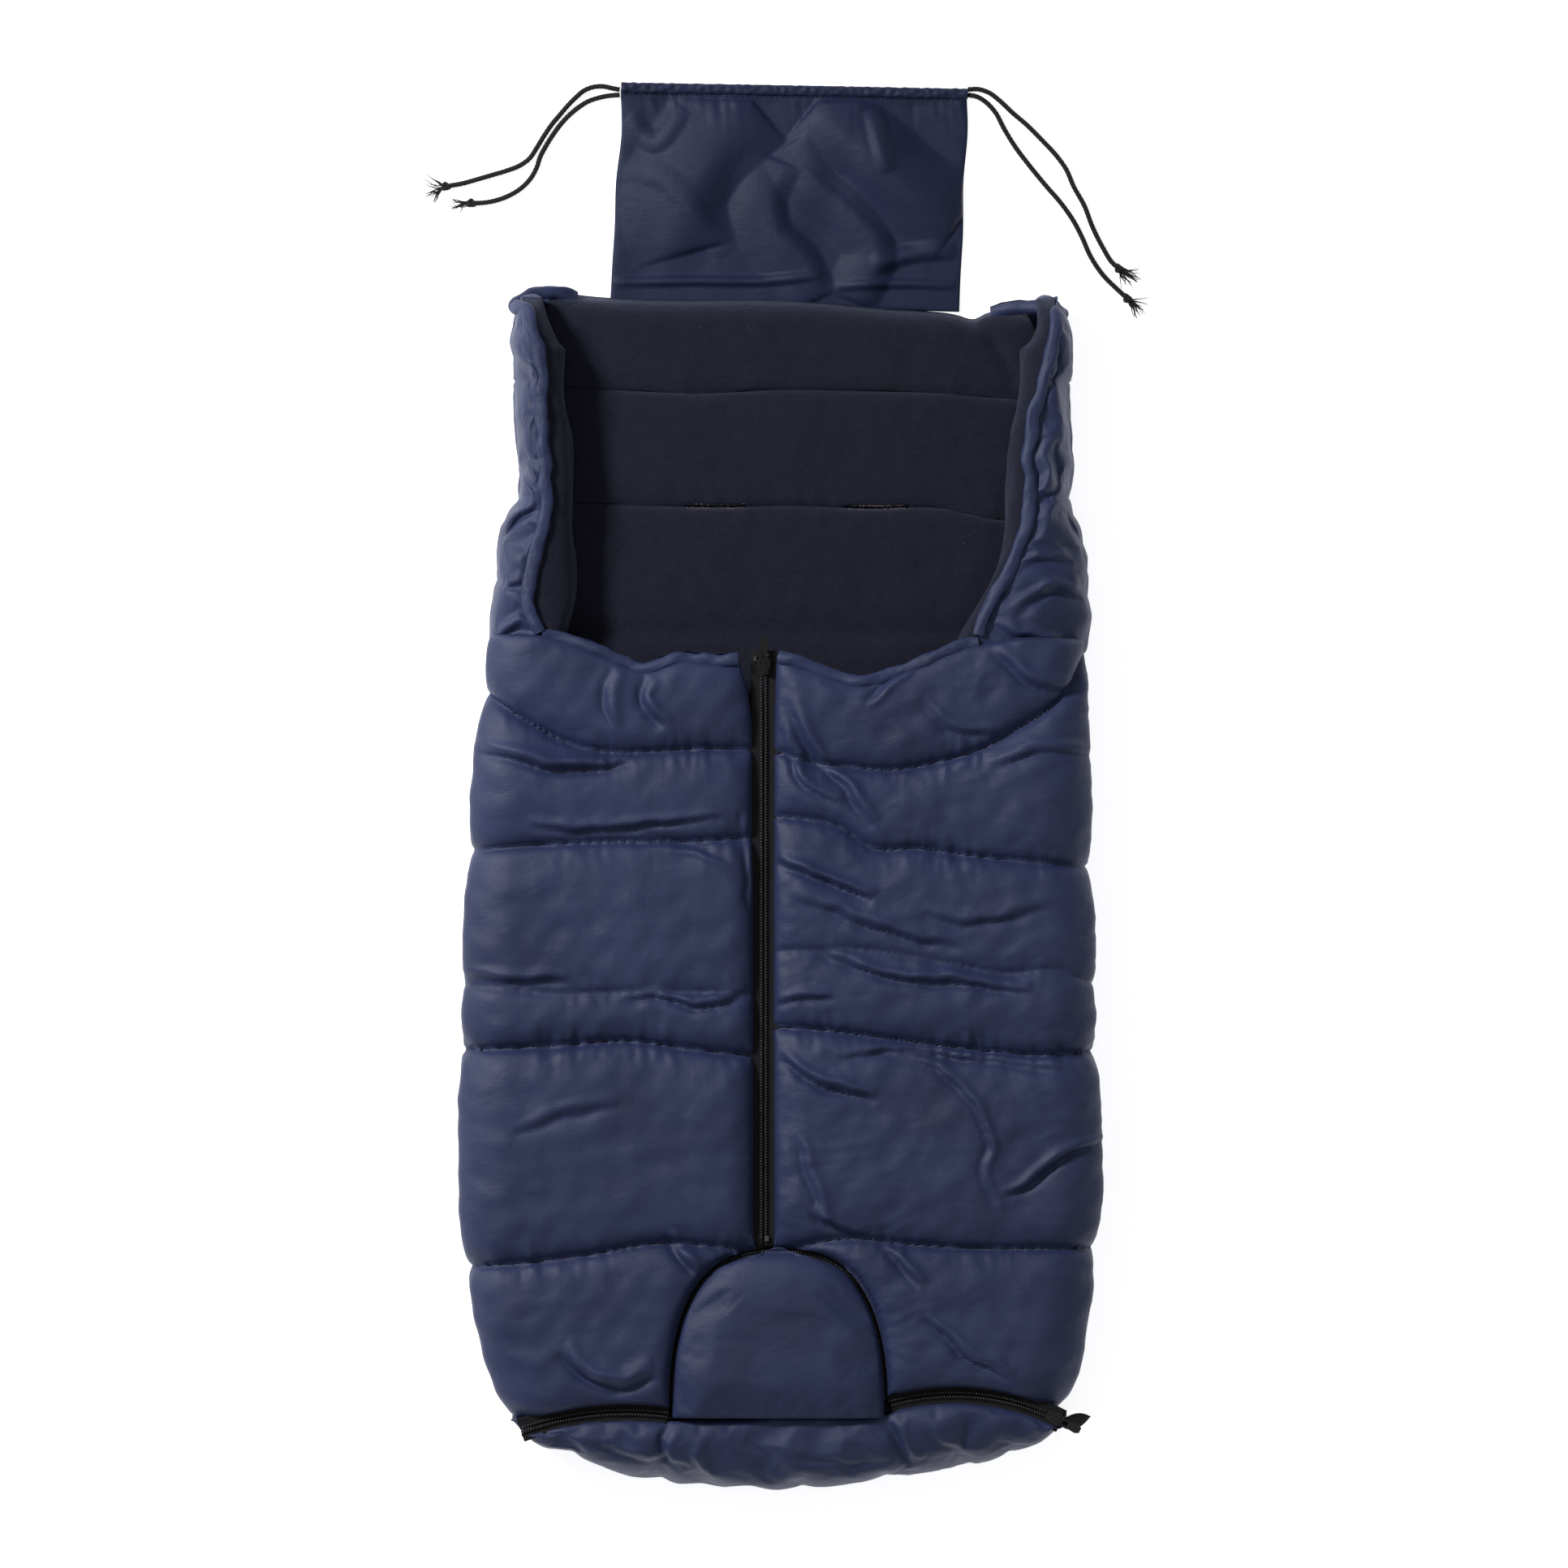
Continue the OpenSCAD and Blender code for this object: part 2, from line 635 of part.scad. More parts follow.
back_shell();
back_padding();
back_lining();
harness_slot_bindings();
side_shell(-1);  // left_side_shell
side_padding(-1);  // left_side_padding
side_lining(-1);  // left_side_lining
wall_binding(-1);  // left_wall_binding
side_shell(1);  // right_side_shell
side_padding(1);  // right_side_padding
side_lining(1);  // right_side_lining
wall_binding(1);  // right_wall_binding
foot_end_shell();
foot_end_padding();
foot_end_lining();
foot_zip_tape_ends();
foot_zip_lower_tapes();
foot_zip_lower_coils();
front_shell(-1);  // left_front_shell
front_padding(-1);  // left_front_padding
front_lining(-1);  // left_front_lining
front_binding(-1);  // left_front_binding
centre_zip_left_tape();
centre_zip_left_coil();
centre_zip_left_top_stop();
foot_zip_upper_tape(-1);  // foot_zip_left_upper_tape
foot_zip_upper_coil(-1);  // foot_zip_left_upper_coil
front_shell(1);  // right_front_shell
front_padding(1);  // right_front_padding
front_lining(1);  // right_front_lining
front_binding(1);  // right_front_binding
centre_zip_right_tape();
centre_zip_right_coil();
centre_zip_right_top_stop();
centre_zip_bottom_stop();
foot_zip_upper_tape(1);  // foot_zip_right_upper_tape
foot_zip_upper_coil(1);  // foot_zip_right_upper_coil
tongue_shell();
tongue_padding();
tongue_lining();
tongue_zip_tape();
tongue_zip_coil();
centre_zip_slider();
centre_zip_pull();
foot_zip_slider();
foot_zip_pull();
flap_seam_band();
head_flap_panel();
head_flap_hem();
drawcords_in_hem();
cord(left_upper_route);  // cord_left_upper
cord(left_lower_route);  // cord_left_lower
cord(right_upper_route);  // cord_right_upper
cord(right_lower_route);  // cord_right_lower
knot(left_upper_route);  // knot_left_upper
knot(left_lower_route);  // knot_left_lower
knot(right_upper_route);  // knot_right_upper
knot(right_lower_route);  // knot_right_lower
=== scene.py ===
"""A padded pushchair foot muff, lying closed on its back: quilted nylon outside, fleece inside."""

import math

import bmesh
import bpy
import numpy as np
from mathutils import Matrix, Vector


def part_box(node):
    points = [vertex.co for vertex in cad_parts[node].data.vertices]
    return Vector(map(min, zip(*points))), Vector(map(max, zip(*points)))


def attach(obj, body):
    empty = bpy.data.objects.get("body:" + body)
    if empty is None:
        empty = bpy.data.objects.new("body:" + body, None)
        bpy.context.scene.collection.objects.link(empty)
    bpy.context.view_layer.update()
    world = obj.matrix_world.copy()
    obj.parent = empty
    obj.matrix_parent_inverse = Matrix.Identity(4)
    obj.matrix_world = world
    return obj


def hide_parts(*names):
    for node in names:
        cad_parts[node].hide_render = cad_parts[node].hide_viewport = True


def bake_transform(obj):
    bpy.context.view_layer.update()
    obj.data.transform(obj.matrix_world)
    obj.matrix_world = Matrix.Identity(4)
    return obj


MM = 0.001

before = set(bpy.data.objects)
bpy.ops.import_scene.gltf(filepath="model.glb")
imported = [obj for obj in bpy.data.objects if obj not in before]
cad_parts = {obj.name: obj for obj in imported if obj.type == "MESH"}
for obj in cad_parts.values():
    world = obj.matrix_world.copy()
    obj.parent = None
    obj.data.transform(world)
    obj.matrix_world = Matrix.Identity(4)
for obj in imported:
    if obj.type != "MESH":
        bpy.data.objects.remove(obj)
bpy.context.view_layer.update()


def box_mm(node):
    low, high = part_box(node)
    return np.array(low) / MM, np.array(high) / MM


# ---------------------------------------------------------------- places, from the frame, in mm

RIGHT_COIL_LOW = box_mm("centre_zip_right_coil")[0]
ZIP_X = (box_mm("centre_zip_left_coil")[1][0] + RIGHT_COIL_LOW[0]) / 2
TAPE_LOW, TAPE_HIGH = box_mm("centre_zip_right_tape")
TAPE_Z = TAPE_HIGH[2]
FRONT_Z = TAPE_LOW[2]
BACK_TOP = box_mm("back_lining")[1][2]
HEAD_Y = box_mm("back_shell")[1][1]
FOOT_Y = box_mm("foot_end_shell")[0][1]
TONGUE_LOW, TONGUE_HIGH = box_mm("tongue_shell")

# ---------------------------------------------------------------- outlines, in mm

LEFT_EDGE = [
    (-460, -190), (-442, -199), (-413, -209), (-373, -218), (-320, -226), (-251, -228),
    (-193, -228), (-144, -226), (-77, -223), (-1, -219), (68, -210), (132, -204),
    (190, -197), (213, -189), (231, -187), (283, -192), (323, -191), (350, -185),
]
RIGHT_EDGE = [
    (-460, 201), (-442, 209), (-402, 217), (-361, 223), (-297, 228), (-239, 228),
    (-164, 225), (-48, 222), (39, 220), (97, 219), (144, 220), (178, 217),
    (202, 212), (236, 211), (283, 209), (306, 212), (332, 204), (350, 195),
]
LEFT_OPENING = [
    (-230, 108), (-172, 109), (-158, 107), (-129, 98), (-96, 85), (-74, 92), (-48, 91), (-10, 92),
]
RIGHT_OPENING = [
    (-14, 95), (0, 94), (20, 87), (59, 76), (79, 81), (103, 90), (122, 99), (148, 105), (230, 106),
]
LEFT_WALL_RIM = [
    (108, -171), (121, -177), (133, -179), (151, -177), (170, -172), (188, -168), (216, -167),
    (253, -169), (308, -172), (350, -184),
]
RIGHT_WALL_RIM = [
    (105, 141), (118, 145), (138, 155), (155, 164), (175, 173), (192, 177), (216, 179), (235, 177),
    (260, 181), (286, 187), (308, 194), (350, 197),
]
LEFT_ZIP_EDGE = [(-470, -19), (-330, -19), (0, -20), (60, -21), (80, -24), (92, -28)]
RIGHT_ZIP_EDGE = [(-470, -4), (-330, -4), (0, -4), (60, -3.5), (80, -3), (95, -2)]

# Quilting seams across the front, from the head down; the fourth is only a soft crease
LEFT_SEAMS = [
    [(-215, 74), (-189, 52), (-172, 41), (-150, 30), (-122, 24), (-97, 24), (-66, 26), (-18, 26)],
    [(-225, -47), (-181, -43), (-122, -40), (-66, -40), (-18, -37)],
    [(-225, -141), (-170, -148), (-107, -147), (-18, -148)],
    [(-228, -189), (-166, -186), (-96, -183), (-78, -186), (-18, -193)],
    [(-225, -344), (-179, -340), (-133, -334), (-96, -327), (-18, -331)],
]
RIGHT_SEAMS = [
    [(-5, 25), (16, 18), (52, 13), (89, 12), (117, 18), (145, 27), (173, 43), (191, 55), (204, 72),
     (214, 100)],
    [(-5, -22), (21, -24), (45, -31), (63, -43), (99, -45), (136, -50), (173, -54), (219, -58)],
    [(-5, -118), (71, -118), (108, -124), (164, -134), (197, -132), (223, -144)],
    [(-5, -172), (27, -174), (81, -181), (121, -186), (181, -192), (225, -190)],
    [(-5, -332), (57, -323), (81, -326), (121, -329), (226, -330)],
]
SEAM_STRENGTH = [0.9, 0.85, 0.4, 1.0, 0.85]

# Loose folds in the outer cloth: points, half width, depth (a ridge where it is negative)
LEFT_FOLDS = [
    ([(-209, 26), (-186, 17), (-155, 10), (-129, 11), (-105, 16)], 7, 4.5),
    ([(-180, -30), (-140, -33), (-100, -30), (-40, -24)], 5, 2.5),
    ([(-112, -155), (-90, -152), (-60, -158), (-22, -150)], 5, 3.0),
    ([(-222, -136), (-190, -141), (-150, -141)], 6, 2.5),
    ([(-120, 85), (-126, 60), (-122, 40)], 8, 2.0),
    ([(-96, 80), (-100, 62), (-84, 40)], 7, 2.5),
    ([(-190, -250), (-150, -236), (-112, -228)], 7, 1.5),
    ([(-158, -403), (-140, -423), (-112, -430), (-86, -420)], 9, 4.0),
    ([(-84, -322), (-72, -334), (-62, -348)], 6, 3.0),
    ([(-30, -20), (-24, -58), (-22, -95)], 5, 2.2),
    ([(-34, -55), (-60, -44), (-96, -36)], 5, 2.0),
]
RIGHT_FOLDS = [
    ([(-3, -54), (34, -70), (67, -83)], 6, 4.5),
    ([(6, 60), (20, 25), (48, -8), (66, -30)], 7, 3.2),
    ([(0, 40), (14, 4), (40, -14)], 5, 2.4),
    ([(-2, -156), (16, -152), (39, -153)], 5, 2.2),
    ([(-1, -192), (21, -210), (53, -221), (69, -225)], 6, 4.0),
    ([(61, -189), (109, -203), (131, -221), (147, -255), (143, -277), (155, -305)], 5, 1.7),
    ([(159, -293), (177, -287), (195, -271), (223, -251)], 5, 3.4),
    ([(22, -304), (39, -316), (57, -324)], 5, 3.0),
    ([(72, -327), (85, -342), (100, -358)], 5, 3.0),
    ([(101, -380), (122, -399), (140, -412), (164, -423)], 6, 3.0),
    ([(27, -118), (52, -130), (90, -140), (130, -142), (180, -150)], 6, 3.2),
    ([(8, -80), (50, -96), (92, -110), (128, -116)], 7, 2.6),
    ([(100, -92), (124, -100), (150, -98), (190, -88)], 7, 2.0),
    ([(40, -196), (90, -190), (150, -198), (205, -204)], 6, 2.8),
    ([(10, -250), (24, -290), (30, -312)], 6, 1.8),
    ([(100, 60), (118, 40), (160, 34)], 6, 1.8),
    ([(92, 100), (84, 82), (60, 60)], 5, 2.4),
    ([(150, 96), (180, 70), (214, 66)], 8, 2.6),
    ([(150, 10), (180, 22), (216, 20)], 7, 2.2),
]

FRONT_BASE_Z = 57.0
FRONT_PUFF = 13.0
SIDE_PUFF = 4.5
SIDE_MID_Z = 30.0
SIDE_FOOT_Z = 2.0


def smooth_line(points):
    """A smooth function through (key, value) points, with the keys rising."""
    keys = np.array([p[0] for p in points], float)
    values = np.array([p[1] for p in points], float)
    slopes = np.gradient(values, keys)

    def at(k):
        k = np.clip(np.asarray(k, float), keys[0], keys[-1])
        i = np.clip(np.searchsorted(keys, k) - 1, 0, len(keys) - 2)
        h = keys[i + 1] - keys[i]
        t = (k - keys[i]) / h
        return (
            (2 * t**3 - 3 * t**2 + 1) * values[i]
            + (t**3 - 2 * t**2 + t) * h * slopes[i]
            + (3 * t**2 - 2 * t**3) * values[i + 1]
            + (t**3 - t**2) * h * slopes[i + 1]
        )

    return at


def run_of(path):
    """How far along a path each of its points lies."""
    return np.concatenate([[0], np.cumsum(np.linalg.norm(np.diff(path, axis=0), axis=1))])


def headings(path):
    """Unit vectors along a path, one at each of its points."""
    way = np.gradient(path, axis=0)
    return way / np.linalg.norm(way, axis=1)[:, None]


def smooth_path(points, step):
    """Points every step mm along a smooth curve through 2-D or 3-D points."""
    points = np.array(points, float)
    run = run_of(points)
    fine = np.linspace(0, run[-1], max(3, int(run[-1] / step) + 1))
    lines = [smooth_line(list(zip(run, points[:, k]))) for k in range(points.shape[1])]
    curve = np.stack([line(fine) for line in lines], axis=1)
    run = run_of(curve)
    even = np.linspace(0, run[-1], max(3, int(run[-1] / step) + 1))
    return np.stack([np.interp(even, run, curve[:, k]) for k in range(points.shape[1])], axis=1)


def distance_to(path, x, y):
    """Each point's distance to a 2-D path, and how far along it the nearest place is, 0 to 1."""
    shape = x.shape
    x, y = x.ravel(), y.ravel()
    best = np.full(len(x), 1e9)
    along = np.zeros(len(x))
    count = len(path) - 1
    for i in range(count):
        a, b = path[i], path[i + 1]
        d = b - a
        t = np.clip(((x - a[0]) * d[0] + (y - a[1]) * d[1]) / max(d @ d, 1e-9), 0, 1)
        gap = np.hypot(x - a[0] - t * d[0], y - a[1] - t * d[1])
        nearer = gap < best
        best = np.where(nearer, gap, best)
        along = np.where(nearer, (i + t) / count, along)
    return best.reshape(shape), along.reshape(shape)


def side_of(path, along, x, y):
    """Above 0 on the left hand of a path, beside the place that is nearest to each point."""
    near = np.clip(np.rint(along * (len(path) - 1)).astype(int), 1, len(path) - 2)
    way = path[near + 1] - path[near - 1]
    return way[:, 0] * (y - path[near, 1]) - way[:, 1] * (x - path[near, 0])


def hills(x, y, size, seed):
    """Smooth seeded bumps about -1 to 1 high, and about size mm apart."""
    rng = np.random.default_rng(seed)
    total = np.zeros_like(x, dtype=float)
    for _ in range(10):
        angle, phase = rng.uniform(0, 2 * math.pi, 2)
        pitch = size * rng.uniform(0.7, 1.5)
        total += np.sin((x * math.cos(angle) + y * math.sin(angle)) * 2 * math.pi / pitch + phase)
    return total / 4


def swell(distance, reach):
    """Height of a stuffed cloth beside a seam, 0 at the seam and 1 from reach outwards."""
    t = np.clip(distance / reach, 0, 1)
    return np.sqrt(1 - (1 - t) ** 2.4)


# ---------------------------------------------------------------- materials


class Finish:
    """A material and the nodes that paint it."""

    def __init__(self, name, roughness, **sockets):
        self.material = bpy.data.materials.new(name)
        self.material.use_nodes = True
        self.nodes = self.material.node_tree.nodes
        self.links = self.material.node_tree.links
        self.shader = self.nodes["Principled BSDF"]
        self.shader.inputs["Roughness"].default_value = roughness
        for socket, value in sockets.items():
            self.shader.inputs[socket.replace("_", " ")].default_value = value
        self.place = self.nodes.new("ShaderNodeTexCoord").outputs["Object"]

    def link(self, source, target):
        self.links.new(source, target)

    def stretched(self, scale, turn=0.0):
        mapping = self.nodes.new("ShaderNodeMapping")
        mapping.inputs["Scale"].default_value = scale
        mapping.inputs["Rotation"].default_value = (0, 0, turn)
        self.link(self.place, mapping.inputs["Vector"])
        return mapping.outputs["Vector"]

    def noise(self, scale, detail=3.0, rough=0.5, vector=None):
        node = self.nodes.new("ShaderNodeTexNoise")
        node.inputs["Scale"].default_value = scale
        node.inputs["Detail"].default_value = detail
        node.inputs["Roughness"].default_value = rough
        self.link(vector or self.place, node.inputs["Vector"])
        return node.outputs["Fac"]

    def wave(self, pitch, direction):
        node = self.nodes.new("ShaderNodeTexWave")
        node.bands_direction = direction
        node.inputs["Scale"].default_value = 0.314 / pitch
        self.link(self.place, node.inputs["Vector"])
        return node.outputs["Fac"]

    def math(self, kind, a, b):
        node = self.nodes.new("ShaderNodeMath")
        node.operation = kind
        for socket, value in zip(node.inputs, (a, b)):
            if isinstance(value, (int, float)):
                socket.default_value = value
            else:
                self.link(value, socket)
        return node.outputs[0]

    def ramp(self, source, *stops):
        node = self.nodes.new("ShaderNodeValToRGB")
        elements = node.color_ramp.elements
        while len(elements) < len(stops):
            elements.new(0.5)
        for element, (position, colour) in zip(elements, stops):
            element.position = position
            element.color = (*colour, 1)
        self.link(source, node.inputs["Fac"])
        return node.outputs["Color"]

    def mix(self, factor, a, b):
        node = self.nodes.new("ShaderNodeMix")
        node.data_type = "RGBA"
        for socket, value in ((node.inputs[0], factor), (node.inputs[6], a), (node.inputs[7], b)):
            if isinstance(value, (int, float)):
                socket.default_value = value
            elif isinstance(value, tuple):
                socket.default_value = (*value, 1)
            else:
                self.link(value, socket)
        return node.outputs[2]

    def paint(self, colour):
        self.link(colour, self.shader.inputs["Base Color"])

    def roughen(self, source, low, high):
        node = self.nodes.new("ShaderNodeMapRange")
        node.inputs["To Min"].default_value = low
        node.inputs["To Max"].default_value = high
        self.link(source, node.inputs["Value"])
        self.link(node.outputs["Result"], self.shader.inputs["Roughness"])

    def bump(self, height, distance, strength=1.0):
        node = self.nodes.new("ShaderNodeBump")
        node.inputs["Distance"].default_value = distance
        node.inputs["Strength"].default_value = strength
        previous = self.shader.inputs["Normal"]
        if previous.is_linked:
            self.link(previous.links[0].from_socket, node.inputs["Normal"])
        self.link(height, node.inputs["Height"])
        self.link(node.outputs["Normal"], previous)


NAVY = (0.0225, 0.0325, 0.0965)
NAVY_DEEP = (0.0165, 0.024, 0.074)
NAVY_WORN = (0.031, 0.043, 0.113)


# shade scales the colours, the specular level and the sheen together: below 1 it gives a copy of the nylon
# with painted shade
def navy_nylon(name, shade):
    deep, navy, worn = [tuple(c * shade for c in tone) for tone in (NAVY_DEEP, NAVY, NAVY_WORN)]
    nylon = Finish(name, 0.52, Specular_IOR_Level=0.4 * shade)
    nylon.shader.inputs["Sheen Weight"].default_value = 0.07 * shade
    nylon.shader.inputs["Sheen Roughness"].default_value = 0.35
    nylon.shader.inputs["Sheen Tint"].default_value = (0.5, 0.58, 0.95, 1)
    patches = nylon.noise(14, 4, 0.6)
    colour = nylon.ramp(patches, (0.3, deep), (0.52, navy), (0.75, worn))
    slubs = nylon.noise(900, 2, 0.6, nylon.stretched((0.1, 1, 1)))
    nylon.paint(nylon.mix(nylon.math("MULTIPLY", slubs, 0.3), colour, worn))
    nylon.roughen(nylon.noise(60, 3, 0.55), 0.46, 0.6)
    warp = nylon.wave(0.0008, "X")
    weft = nylon.wave(0.0009, "Y")
    nylon.bump(nylon.math("ADD", warp, weft), 0.00008, 0.6)
    nylon.bump(nylon.noise(420, 3, 0.6, nylon.stretched((0.35, 1, 1))), 0.0004, 0.35)
    slanted = nylon.noise(42, 3, 0.5, nylon.stretched((0.55, 1, 1), 0.5))
    creases = nylon.math("ABSOLUTE", nylon.math("SUBTRACT", slanted, 0.5), 0.0)
    nylon.bump(nylon.ramp(creases, (0.0, (0, 0, 0)), (0.09, (1, 1, 1))), 0.0005, 0.22)
    nylon.bump(nylon.noise(22, 2, 0.45, nylon.stretched((0.7, 1, 1), 0.4)), 0.0012, 0.2)
    return nylon.material


def navy_fleece():
    fleece = Finish("navy_fleece", 0.95, Specular_IOR_Level=0.15)
    fleece.shader.inputs["Sheen Weight"].default_value = 0.22
    fleece.shader.inputs["Sheen Roughness"].default_value = 0.6
    fleece.shader.inputs["Sheen Tint"].default_value = (0.45, 0.5, 0.75, 1)
    pile = fleece.noise(900, 4, 0.7)
    tufts = fleece.noise(240, 3, 0.6)
    soft = fleece.mix(tufts, (0.0062, 0.0068, 0.0135), (0.0165, 0.0178, 0.032))
    lint = fleece.ramp(fleece.noise(700, 1, 0.5), (0.775, (0, 0, 0)), (0.8, (1, 1, 1)))
    rare = fleece.ramp(fleece.noise(31, 1, 0.5), (0.62, (0, 0, 0)), (0.66, (1, 1, 1)))
    speck = fleece.mix(rare, (0, 0, 0), lint)
    fleece.paint(fleece.mix(speck, soft, (0.16, 0.16, 0.19)))
    fleece.bump(fleece.math("ADD", pile, tufts), 0.0012, 0.7)
    fleece.bump(fleece.noise(55, 3, 0.5), 0.002, 0.3)
    return fleece.material


def woven_tape():
    tape = Finish("woven_black_tape", 0.75, Specular_IOR_Level=0.3)
    ribs = tape.wave(0.0011, "Y")
    yarn = tape.wave(0.0006, "X")
    tape.paint(tape.mix(ribs, (0.0055, 0.0055, 0.0068), (0.015, 0.015, 0.018)))
    tape.bump(tape.math("ADD", ribs, yarn), 0.0002, 0.8)
    tape.bump(tape.noise(90, 2, 0.5), 0.0008, 0.3)
    return tape.material


def black_plastic():
    plastic = Finish("black_coil_plastic", 0.28, Specular_IOR_Level=0.5)
    wear = plastic.noise(300, 3, 0.6)
    plastic.paint(plastic.mix(wear, (0.026, 0.026, 0.028), (0.055, 0.055, 0.06)))
    plastic.roughen(wear, 0.2, 0.34)
    plastic.bump(plastic.noise(900, 2, 0.5), 0.0001, 0.4)
    return plastic.material


def black_enamel():
    enamel = Finish("black_enamel", 0.22, Metallic=0.0, Specular_IOR_Level=0.3)
    enamel.shader.inputs["Coat Weight"].default_value = 0.1
    enamel.shader.inputs["Coat Roughness"].default_value = 0.12
    chips = enamel.noise(420, 4, 0.65)
    enamel.paint(enamel.ramp(chips, (0.6, (0.002, 0.002, 0.0025)), (0.85, (0.008, 0.008, 0.009))))
    enamel.roughen(chips, 0.32, 0.5)
    enamel.bump(enamel.noise(500, 2, 0.5), 0.0001, 0.3)
    return enamel.material


def fibres(name, roughness, grain, tones, bump, **sockets):
    """A plain fibrous material: its grain's scale, detail and roughness, two tones and a bump."""
    yarn = Finish(name, roughness, **sockets)
    texture = yarn.noise(*grain)
    yarn.paint(yarn.mix(texture, *tones))
    yarn.bump(texture, *bump)
    return yarn.material


NYLON = navy_nylon("navy_nylon", 1.0)
# The head flap and its hem: the same nylon darkened to 0.62, which is painted shade
SHADED_NYLON = navy_nylon("shaded_navy_nylon", 0.62)
FLEECE = navy_fleece()
TAPE = woven_tape()
PLASTIC = black_plastic()
ENAMEL = black_enamel()
CORD = fibres(
    "black_twisted_cord", 0.8, (1500, 3, 0.7), ((0.004, 0.004, 0.005), (0.017, 0.017, 0.02)),
    (0.0004, 0.8), Specular_IOR_Level=0.3, Sheen_Weight=0.15,
)
THREAD = fibres(
    "navy_thread", 0.75, (1800, 2, 0.6), ((0.004, 0.005, 0.012), (0.011, 0.013, 0.028)),
    (0.0002, 0.6), Specular_IOR_Level=0.2,
)
FRAY = fibres(
    "pale_frayed_edge", 0.8, (1200, 3, 0.7), ((0.14, 0.11, 0.14), (0.55, 0.46, 0.5)), (0.0003, 0.6),
)

# ---------------------------------------------------------------- making pieces


def new_piece(name, mesh_work, material):
    mesh = bpy.data.meshes.new(name)
    mesh_work.to_mesh(mesh)
    mesh_work.free()
    piece = bpy.data.objects.new(name, mesh)
    bpy.context.scene.collection.objects.link(piece)
    mesh.materials.append(material)
    for polygon in mesh.polygons:
        polygon.use_smooth = True
    return piece


def placed_grid(columns, rows, place):
    """A grid whose points stand at place(u, v), in mm, with u and v from 0 to 1."""
    work = bmesh.new()
    bmesh.ops.create_grid(work, x_segments=columns, y_segments=rows, size=1)
    flat = np.array([v.co[:] for v in work.verts])
    x, y, z = place((flat[:, 0] + 1) / 2, (flat[:, 1] + 1) / 2)
    for vert, spot in zip(work.verts, np.stack([x, y, z], axis=1) * MM):
        vert.co = spot
    return work, x, y


def cloth_grid(name, columns, rows, place, material, flip=False, keep=None):
    """A grid of cloth. place(u, v) gives x, y and z in mm, u and v from 0 to 1; keep(x, y) says
    which of its points stay."""
    work, x, y = placed_grid(columns, rows, place)
    if keep is not None:
        stays = keep(x, y)
        gone = [v for v, stay in zip(work.verts, stays) if not stay]
        bmesh.ops.delete(work, geom=gone, context="VERTS")
    if flip:
        bmesh.ops.reverse_faces(work, faces=work.faces)
    return new_piece(name, work, material)


def add_bead(work, spot, turn, size, subdivisions=1):
    """Adds a rounded bead at a spot, turned about the upright; size has its half lengths in mm."""
    place = Matrix.Translation(Vector(spot) * MM) @ Matrix.Rotation(turn, 4, "Z")
    shape = Matrix.Diagonal((size[0] * MM, size[1] * MM, size[2] * MM, 1))
    bmesh.ops.create_icosphere(work, subdivisions=subdivisions, radius=1, matrix=place @ shape)


def border_of(piece):
    """Which points of a piece lie on its open edges."""
    work = bmesh.new()
    work.from_mesh(piece.data)
    rim = np.array([v.is_boundary for v in work.verts])
    work.free()
    return rim


def points_of(piece):
    co = np.zeros(len(piece.data.vertices) * 3)
    piece.data.vertices.foreach_get("co", co)
    return co.reshape(-1, 3) / MM


def set_points(piece, points):
    piece.data.vertices.foreach_set("co", (points * MM).ravel())
    piece.data.update()


def thicken(piece, thickness, levels=0):
    """Gives a cloth its thickness, downwards, and smooths it."""
    if levels:
        smooth = piece.modifiers.new("smooth", "SUBSURF")
        smooth.levels = smooth.render_levels = levels
    wall = piece.modifiers.new("cloth", "SOLIDIFY")
    wall.thickness = thickness * MM
    wall.offset = -1
    return piece


def dress(piece, body, slot, *stands_for):
    if body:
        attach(piece, body)
    if stands_for:
        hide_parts(*stands_for)
    return piece


def across(way):
    """Unit vectors square to each step of a path, level and upward."""
    level = np.cross(way, [0, 0, 1.0])
    level /= np.linalg.norm(level, axis=1)[:, None]
    return level, np.cross(level, way)


def tube(name, path, radius, sides, material):
    """A closed tube along a path. radius(turn, run) gives sideways and upward reach in mm, with
    the turn round the tube in radians and the run along it in mm."""
    path = np.array(path, float)
    level, up = across(headings(path))
    run = run_of(path)

    def place(u, v):
        i = np.rint(v * (len(path) - 1)).astype(int)
        turn = u * 2 * math.pi
        side, high = radius(turn, run[i])
        spot = path[i] + level[i] * side[:, None] + up[i] * high[:, None]
        return spot[:, 0], spot[:, 1], spot[:, 2]

    work, _, _ = placed_grid(sides, len(path) - 1, place)
    bmesh.ops.remove_doubles(work, verts=work.verts, dist=1e-6)
    bmesh.ops.holes_fill(work, edges=[e for e in work.edges if e.is_boundary], sides=sides + 2)
    bmesh.ops.recalc_face_normals(work, faces=work.faces)
    return new_piece(name, work, material)


